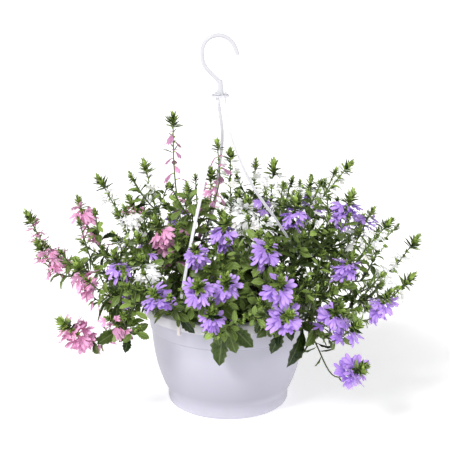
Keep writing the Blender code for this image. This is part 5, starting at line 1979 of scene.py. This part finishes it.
def fill_leaves(stem):
    """Leaves on a spiral up the stem, smaller towards its tip, wherever there is room."""
    rows = []
    reach = 16.0 * MM if stem["root"] else 6.0 * MM
    turn = detail.uniform(0, 6)
    end = stem["long"] * 0.45 if stem["name"] in BARE_STEMS else stem["long"] - 16 * MM
    while reach < end:
        part = reach / stem["long"]
        origin, along = along_path(stem["fine"], reach)[:2]
        side = along.orthogonal().normalized()
        inner = max(0.0, 1 - origin.xy.length / CROWN_RADIUS)
        size = (17 + 24 * (1 - part) * (0.5 + 0.5 * inner)) * detail.uniform(0.8, 1.15) * MM
        for attempt in range(5):
            lift = math.radians(detail.uniform(5, 60))
            place = pointing(origin, along, side, turn + detail.uniform(-0.6, 0.6) * (1 + attempt), lift)
            blade = {"kind": "leaf", "place": place, "size": size * (1 - 0.08 * attempt)}
            if takes_room(blade, "leaf"):
                # Painted shade: leaves low on their stem get a lower shade number, darker as in the plant's
                # shaded inside, plus a random tone
                shade = min(1.0, max(0.0, 0.02 + 0.65 * part + detail.uniform(-0.15, 0.5)))
                rows.append(row_of(place, blade["size"], shade, detail.randrange(3)))
                break
        turn += GOLDEN_TURN
        reach += detail.uniform(5.0, 8.5) * MM
    return rows


# Stem, part of its length, and the tip in mm of a leaf that hangs over the rim
DRAPES = (
    ("U11", 0.55, (-59, -150, 166)), ("L2", 0.80, (-33, -160, 152)), ("L2", 0.90, (31, -160, 148)),
    ("L3", 0.60, (49, -160, 146)), ("L3", 0.98, (86, -162, 134)), ("L3", 0.88, (70, -160, 130)),
    ("L4", 0.65, (104, -154, 120)), ("L4", 0.98, (130, -142, 122)), ("U10", 0.60, (-14, -164, 150)),
)


def draped_leaves(stem):
    """Large leaves that hang over the rim, with their upper faces outwards."""
    rows = []
    for name, part, tip in DRAPES:
        if name != stem["name"]:
            continue
        origin = along_path(stem["fine"], part * stem["long"])[0]
        reach = Vector(tip) * MM - origin
        outward = Vector((origin.x, origin.y, 0)).normalized()
        for attempt in range(12):
            swing = Vector([detail.uniform(-0.05, 0.05) * attempt for _ in range(3)])
            place = axes(origin, reach.normalized() + swing, outward)
            blade = {"kind": "leaf", "place": place, "size": reach.length * (1.1 - 0.04 * attempt)}
            if takes_room(blade, "leaf"):
                rows.append(row_of(place, blade["size"], detail.uniform(0.0, 0.3), detail.randrange(3)))
                break
        else:
            print("no room for a draped leaf on", name, tip)
    return rows


def cad_blades(stem, kind):
    """The leaves or the single flowers that the CAD stem carries."""
    return [blade for bud in stem["buds"] for blade in bud["blades"].values() if blade["kind"] == kind]


def cad_leaves(stem):
    """The CAD stem's leaves, of which the large ones over the rim stay dark."""
    part = 0.55 if stem["name"] in TALL_STEMS else 1.0
    rows = []
    for blade in cad_blades(stem, "leaf"):
        shade = detail.uniform(0.0, 0.6 if blade["size"] < LARGE_LEAF * MM else 0.3)
        rows.append(row_of(shifted(blade["place"], stem), blade["size"] * part, shade, detail.randrange(3)))
    return rows


print("leaves set to hang over the rim:", len(DRAPES))

# %% [markdown]
# ## Side shoots
# Short leafy shoots off the lower stems fill the plant's inside. Each is a short path, tried a few times till
# it is clear, and then grows leaves and bracts like a stem.

# %% Side shoots
SHOOT_TRIES = 6


def shoot_tube(path):
    """A plain tube round a side shoot, to see whether its way is clear."""
    points, faces = [], []
    for along, side in carried_sides(path, Vector((0.3, 1, 0.2))):
        centre = path[len(points) // STEM_SIDES]
        points += ring(centre, along, side, 1.4 * MM, 0, STEM_SIDES)
    for index in range(1, len(path) - 1):
        faces += band(index * STEM_SIDES, (index + 1) * STEM_SIDES, STEM_SIDES)
    return points, faces


def side_shoots(stem, count):
    shoots = []
    highest = 0.3 if stem["name"] in BARE_STEMS else 0.82 if stem["name"] in FULL_STEMS else 0.62
    for _ in range(FULL_STEMS.get(stem["name"], count)):
        for _ in range(SHOOT_TRIES):
            part = detail.uniform(0.12, highest)
            start, along = along_path(stem["fine"], part * stem["long"])[:2]
            outward = Vector((start.x, start.y, 0)).normalized()
            swing = Vector((detail.uniform(-1, 1), detail.uniform(-1, 1), detail.uniform(-0.2, 0.9)))
            heading = (outward * 0.5 + swing + along * 0.4).normalized()
            long = detail.uniform(32, 62) * MM
            path = [start + heading * long * t + UP * long * 0.35 * t * t for t in (0, 0.2, 0.45, 0.7, 1.0)]
            outside = path[-1].xy.length > RIM_RADIUS * MM and path[-1].z < POT_HEIGHT * MM
            if not outside and is_clear(shoot_tube(path)):
                break
        else:
            continue
        keep(shoot_tube(path), "fill", "shoot")
        tuft = detail.uniform(0.5, 0.75)
        shoots.append({"name": stem["name"], "fine": path, "long": path_length(path), "root": False,
                       "tuft": tuft, "sides": carried_sides(path, Vector((0.3, 1, 0.2))), "buds": []})
    return shoots


# %% [markdown]
# ## Single flowers
# Single flowers sit between the small bracts below a tuft. A stem's name says to which variety it belongs:
# P for pink, W for white, and purple otherwise.

# %% Places of single flowers
SINGLES_WANTED = {"pink": 7, "white": 7, "purple": 2}


def stem_colour(stem):
    """The variety that a stem belongs to."""
    return {"P": "pink", "W": "white"}.get(stem["name"][0], "purple")


def single_kind():
    """Single flowers are often half closed."""
    return detail.choice((0, 1, 3, 4, 4))


def cad_singles(stem):
    colour = COLOURS.index(stem_colour(stem))
    return [row_of(shifted(blade["place"], stem), blade["size"], detail.uniform(0.2, 1.0), single_kind(),
                   colour) for blade in cad_blades(stem, "single")]


def more_singles(stem):
    """Single flowers in the axils of the bracts below a tuft, older and sparser on the tall stems."""
    rows = []
    colour = stem_colour(stem)
    tall = stem["name"] in TALL_STEMS
    turn = detail.uniform(0, 6)
    for number in range(9 if tall else SINGLES_WANTED[colour]):
        below = (9 + (15 if tall else 10) * number + detail.uniform(0, 6)) * MM
        if below > stem["long"] * (0.75 if tall else 0.55):
            break
        origin, along = along_path(stem["fine"], stem["long"] - below)[:2]
        side = along.orthogonal().normalized()
        for attempt in range(6):
            turn += GOLDEN_TURN + detail.uniform(-0.4, 0.4)
            lift = math.radians(detail.uniform(-15, 35))
            place = pointing(origin, along, side, turn, lift)
            place.translation = origin + place.col[0].to_3d() * 2.4 * MM
            size = detail.uniform(0.62, 0.88) * (1 - 0.04 * attempt)
            blade = {"kind": "single", "place": place, "size": size}
            if takes_room(blade, "flower"):
                shade = detail.uniform(0.94 if tall else 0.1, 1.0)
                kind = 4 if tall else single_kind()
                rows.append(row_of(place, size, shade, kind, COLOURS.index(colour)))
                break
    return rows


# %% [markdown]
# ## Fuller heads and loose bunches
# The CAD heads hold a few flowers each. Real ones are crowded, so each gets up to four more, tried at random
# round the stem and kept where they cross no other petal. Looser bunches stand further down many stems. All
# of them find their place before the leaves, which fill what is left.

# %% Fuller heads and loose bunches
HEAD_TRIES = 18

# Stem, distance below its tuft, flowers, tilt upwards in degrees, size
BUNCHES = (
    ("W1", 9, 4, -15, 0.9), ("W1", 24, 3, -10, 0.8), ("W2", 10, 4, -10, 0.9), ("W2", 26, 3, -10, 0.85),
    ("W3", 16, 4, -10, 0.95), ("W4", 14, 5, -10, 1.0), ("W5", 10, 6, 22, 1.0), ("W6", 4, 6, 15, 1.0),
    ("W6", 22, 4, 18, 0.95), ("W7", 10, 4, 10, 0.9), ("W8", 6, 6, -5, 0.95), ("W8", 24, 5, 10, 0.9),
    ("W9", 8, 4, -10, 0.9), ("W10", 8, 4, -10, 0.95), ("W11", 12, 3, -10, 0.85), ("W16", 4, 5, -10, 1.0),
    ("W13", 8, 4, -10, 0.95), ("W12", 22, 3, -10, 0.9), ("W14", 4, 5, -5, 1.0), ("P4", 30, 5, 0, 0.95),
    ("P4", 46, 4, 0, 0.9), ("P4c", 8, 4, 0, 0.9), ("P1", 22, 4, -5, 0.9), ("P1", 42, 3, -5, 0.9),
    ("P2", 10, 4, -5, 0.95), ("P2", 30, 3, -5, 0.9), ("P5", 20, 4, -15, 0.95), ("P3", 20, 4, -15, 0.9),
    ("P3", 40, 3, -10, 0.85), ("P6", 20, 4, -15, 0.95), ("P9", 12, 4, -10, 0.8), ("U2", 16, 3, -15, 0.95),
    ("U3", 18, 4, -20, 0.95), ("U4", 18, 4, -20, 0.95), ("U13", 18, 3, -5, 0.95), ("U14", 16, 3, -8, 0.95),
    ("U16", 16, 3, -15, 0.95), ("U17", 18, 4, -20, 0.95), ("U1", 18, 4, -20, 0.95), ("U15", 12, 6, 16, 1.0),
    ("W5", 28, 5, 20, 0.95), ("U17", 8, 5, 30, 0.9), ("W15", 14, 4, 15, 0.9), ("W11", 76, 5, 12, 1.0),
    ("W5", 18, 4, 5, 1.0), ("W12", 130, 6, 25, 1.0), ("W13", 34, 4, 20, 0.95),
)


def more_flowers(stem, middle, colour, tilt, largest, count):
    """Flowers tried at random round a stem near a point, where they find room."""
    rows = []
    centre, along = nearest(stem["fine"], middle)
    side = along.orthogonal().normalized()
    for _ in range(count):
        for _ in range(HEAD_TRIES):
            level = detail.uniform(-12, 8) * MM
            lift = math.radians(tilt + detail.uniform(-34, 36))
            place = pointing(centre + along * level, along, side, detail.uniform(0, 6.28), lift)
            place = place @ Matrix.Rotation(math.radians(detail.uniform(-38, 38)), 4, "X")
            place.translation = centre + along * level + place.col[0].to_3d() * 2.6 * MM
            size = largest * detail.uniform(0.78, 1.02)
            blade = {"kind": "flower", "place": place, "size": size * 0.92}
            if takes_room(blade, "flower", 0.0):
                shade = detail.uniform(0.0, 0.95)
                rows.append(row_of(place, size, shade, detail.randrange(4), COLOURS.index(colour)))
                break
    return rows


for head, row in zip(heads, HEADS):
    middle = head["place"].translation
    head["more"] = more_flowers(stems[row[0]], middle, head["colour"], row[4], row[5], 4)
print("flowers added to the heads:", sum(len(head["more"]) for head in heads))
for stem in stems.values():
    stem["bunch"] = []
for name, below, count, tilt, size in BUNCHES:
    stem = stems[name]
    middle = along_path(stem["fine"], stem["long"] - below * MM)[0]
    stem["bunch"] += more_flowers(stem, middle, stem_colour(stem), tilt, size, count)
print("flowers in bunches:", sum(len(stem["bunch"]) for stem in stems.values()))

# %% [markdown]
# ## The leafy pieces
# One piece stands for each CAD spray: its stems, leaves, bracts and single flowers, put together by the tree
# and then made a plain mesh. The tree reads each place's turn, size, shade and kind from attributes on bare
# points, and a stem's thickness from an attribute along its line.

# %% The leafy pieces
places = shelf("places")


def places_object(name, rows, collection):
    """Rows as points with attributes that the trees read."""
    made = new_object(name, [row["place"].translation for row in rows], [], collection=collection)
    turns = made.data.attributes.new("turn", "QUATERNION", "POINT")
    turns.data.foreach_set("value", [value for row in rows for value in row["place"].to_quaternion()])
    for label in ("size", "shade"):
        field = made.data.attributes.new(label, "FLOAT", "POINT")
        field.data.foreach_set("value", [row[label] for row in rows])
    for label in ("kind", "colour"):
        field = made.data.attributes.new(label, "INT", "POINT")
        field.data.foreach_set("value", [row[label] for row in rows])
    return made


def line_object(name, own):
    """All of a spray's stems as lines, with their thickness at every point."""
    points, edges, thick = [], [], []
    for stem in own:
        first = len(points)
        points += stem["fine"]
        edges += [(first + k, first + k + 1) for k in range(len(stem["fine"]) - 1)]
        start = 1.65 if stem["root"] else 1.35
        count = len(stem["fine"]) - 1
        thick += [(start + (0.95 - start) * k / count) * MM for k in range(count + 1)]
    made = new_object(name, points, [], edges)
    made.data.attributes.new("thick", "FLOAT", "POINT").data.foreach_set("value", thick)
    return made


def make_spray(name, own):
    singles = [row for stem in own for row in cad_singles(stem) + stem["bunch"] + more_singles(stem)]
    leaves = [row for stem in own for row in cad_leaves(stem) + draped_leaves(stem) + fill_leaves(stem)]
    shoots = [shoot for stem in own for shoot in side_shoots(stem, 7 if stem["root"] else 4)]
    leaves += [row for shoot in shoots for row in fill_leaves(shoot)]
    bracts = [row for stem in own + shoots for row in tuft_bracts(stem) + stem_bracts(stem)]
    spray = line_object(f"leafy_{name}", own + shoots)
    values = {"Sides": 7, "Stem finish": STEM, "Leaf shapes": leaf_kinds, "Leaf finish": LEAF,
              "Bract shapes": bract_kinds, "Bract finish": BRACT, "Flower shapes": flower_kinds,
              **PETAL_FINISHES}
    for label, rows in (("Leaf", leaves), ("Bract", bracts), ("Flower", singles)):
        values[f"{label} places"] = places_object(f"{name}_{label}", rows, places)
    SPRAY_TREE.put_on(spray, values)
    settle(spray)
    dress(spray, "foliage", f"spray_{name}")
    return len(leaves), len(bracts), len(singles)


counts = [make_spray(row[0], [stems[part[0]] for part in row[2]]) for row in SPRAYS]
print("leaves, bracts and single flowers:", [sum(column) for column in zip(*counts)])

# %% [markdown]
# ## The heads
# Each head is a piece of its own, because CAD keeps a body for each. Its flowers stand where the CAD flowers
# do. The tree picks one of four kinds for each, and the shade number makes some petals older and duller.

# %% The heads


def make_head(head, row):
    stem = stems[row[0]]
    colour = COLOURS.index(head["colour"])
    rows = list(head["more"])
    for flower in head["flowers"].values():
        place, shade = shifted(flower["place"], stem), detail.uniform(0.0, 0.9)
        rows.append(row_of(place, flower["size"], shade, detail.randrange(4), colour))
    name = head["name"].replace("petals", "bloom")
    bloom = places_object(name, rows, scene.collection)
    FLOWER_TREE.put_on(bloom, {"Shapes": flower_kinds, "Calyx finish": BRACT, **PETAL_FINISHES})
    settle(bloom)
    dress(bloom, f"petals_{head['colour']}", head["name"])


for head, row in zip(heads, HEADS):
    make_head(head, row)

# %% [markdown]
# ## Finish
# What was only needed on the way is removed.

# %% Finish
for shape in list(workshop.all_objects):
    bpy.data.objects.remove(shape)
for old in list(workshop.children_recursive) + [workshop]:
    bpy.data.collections.remove(old)
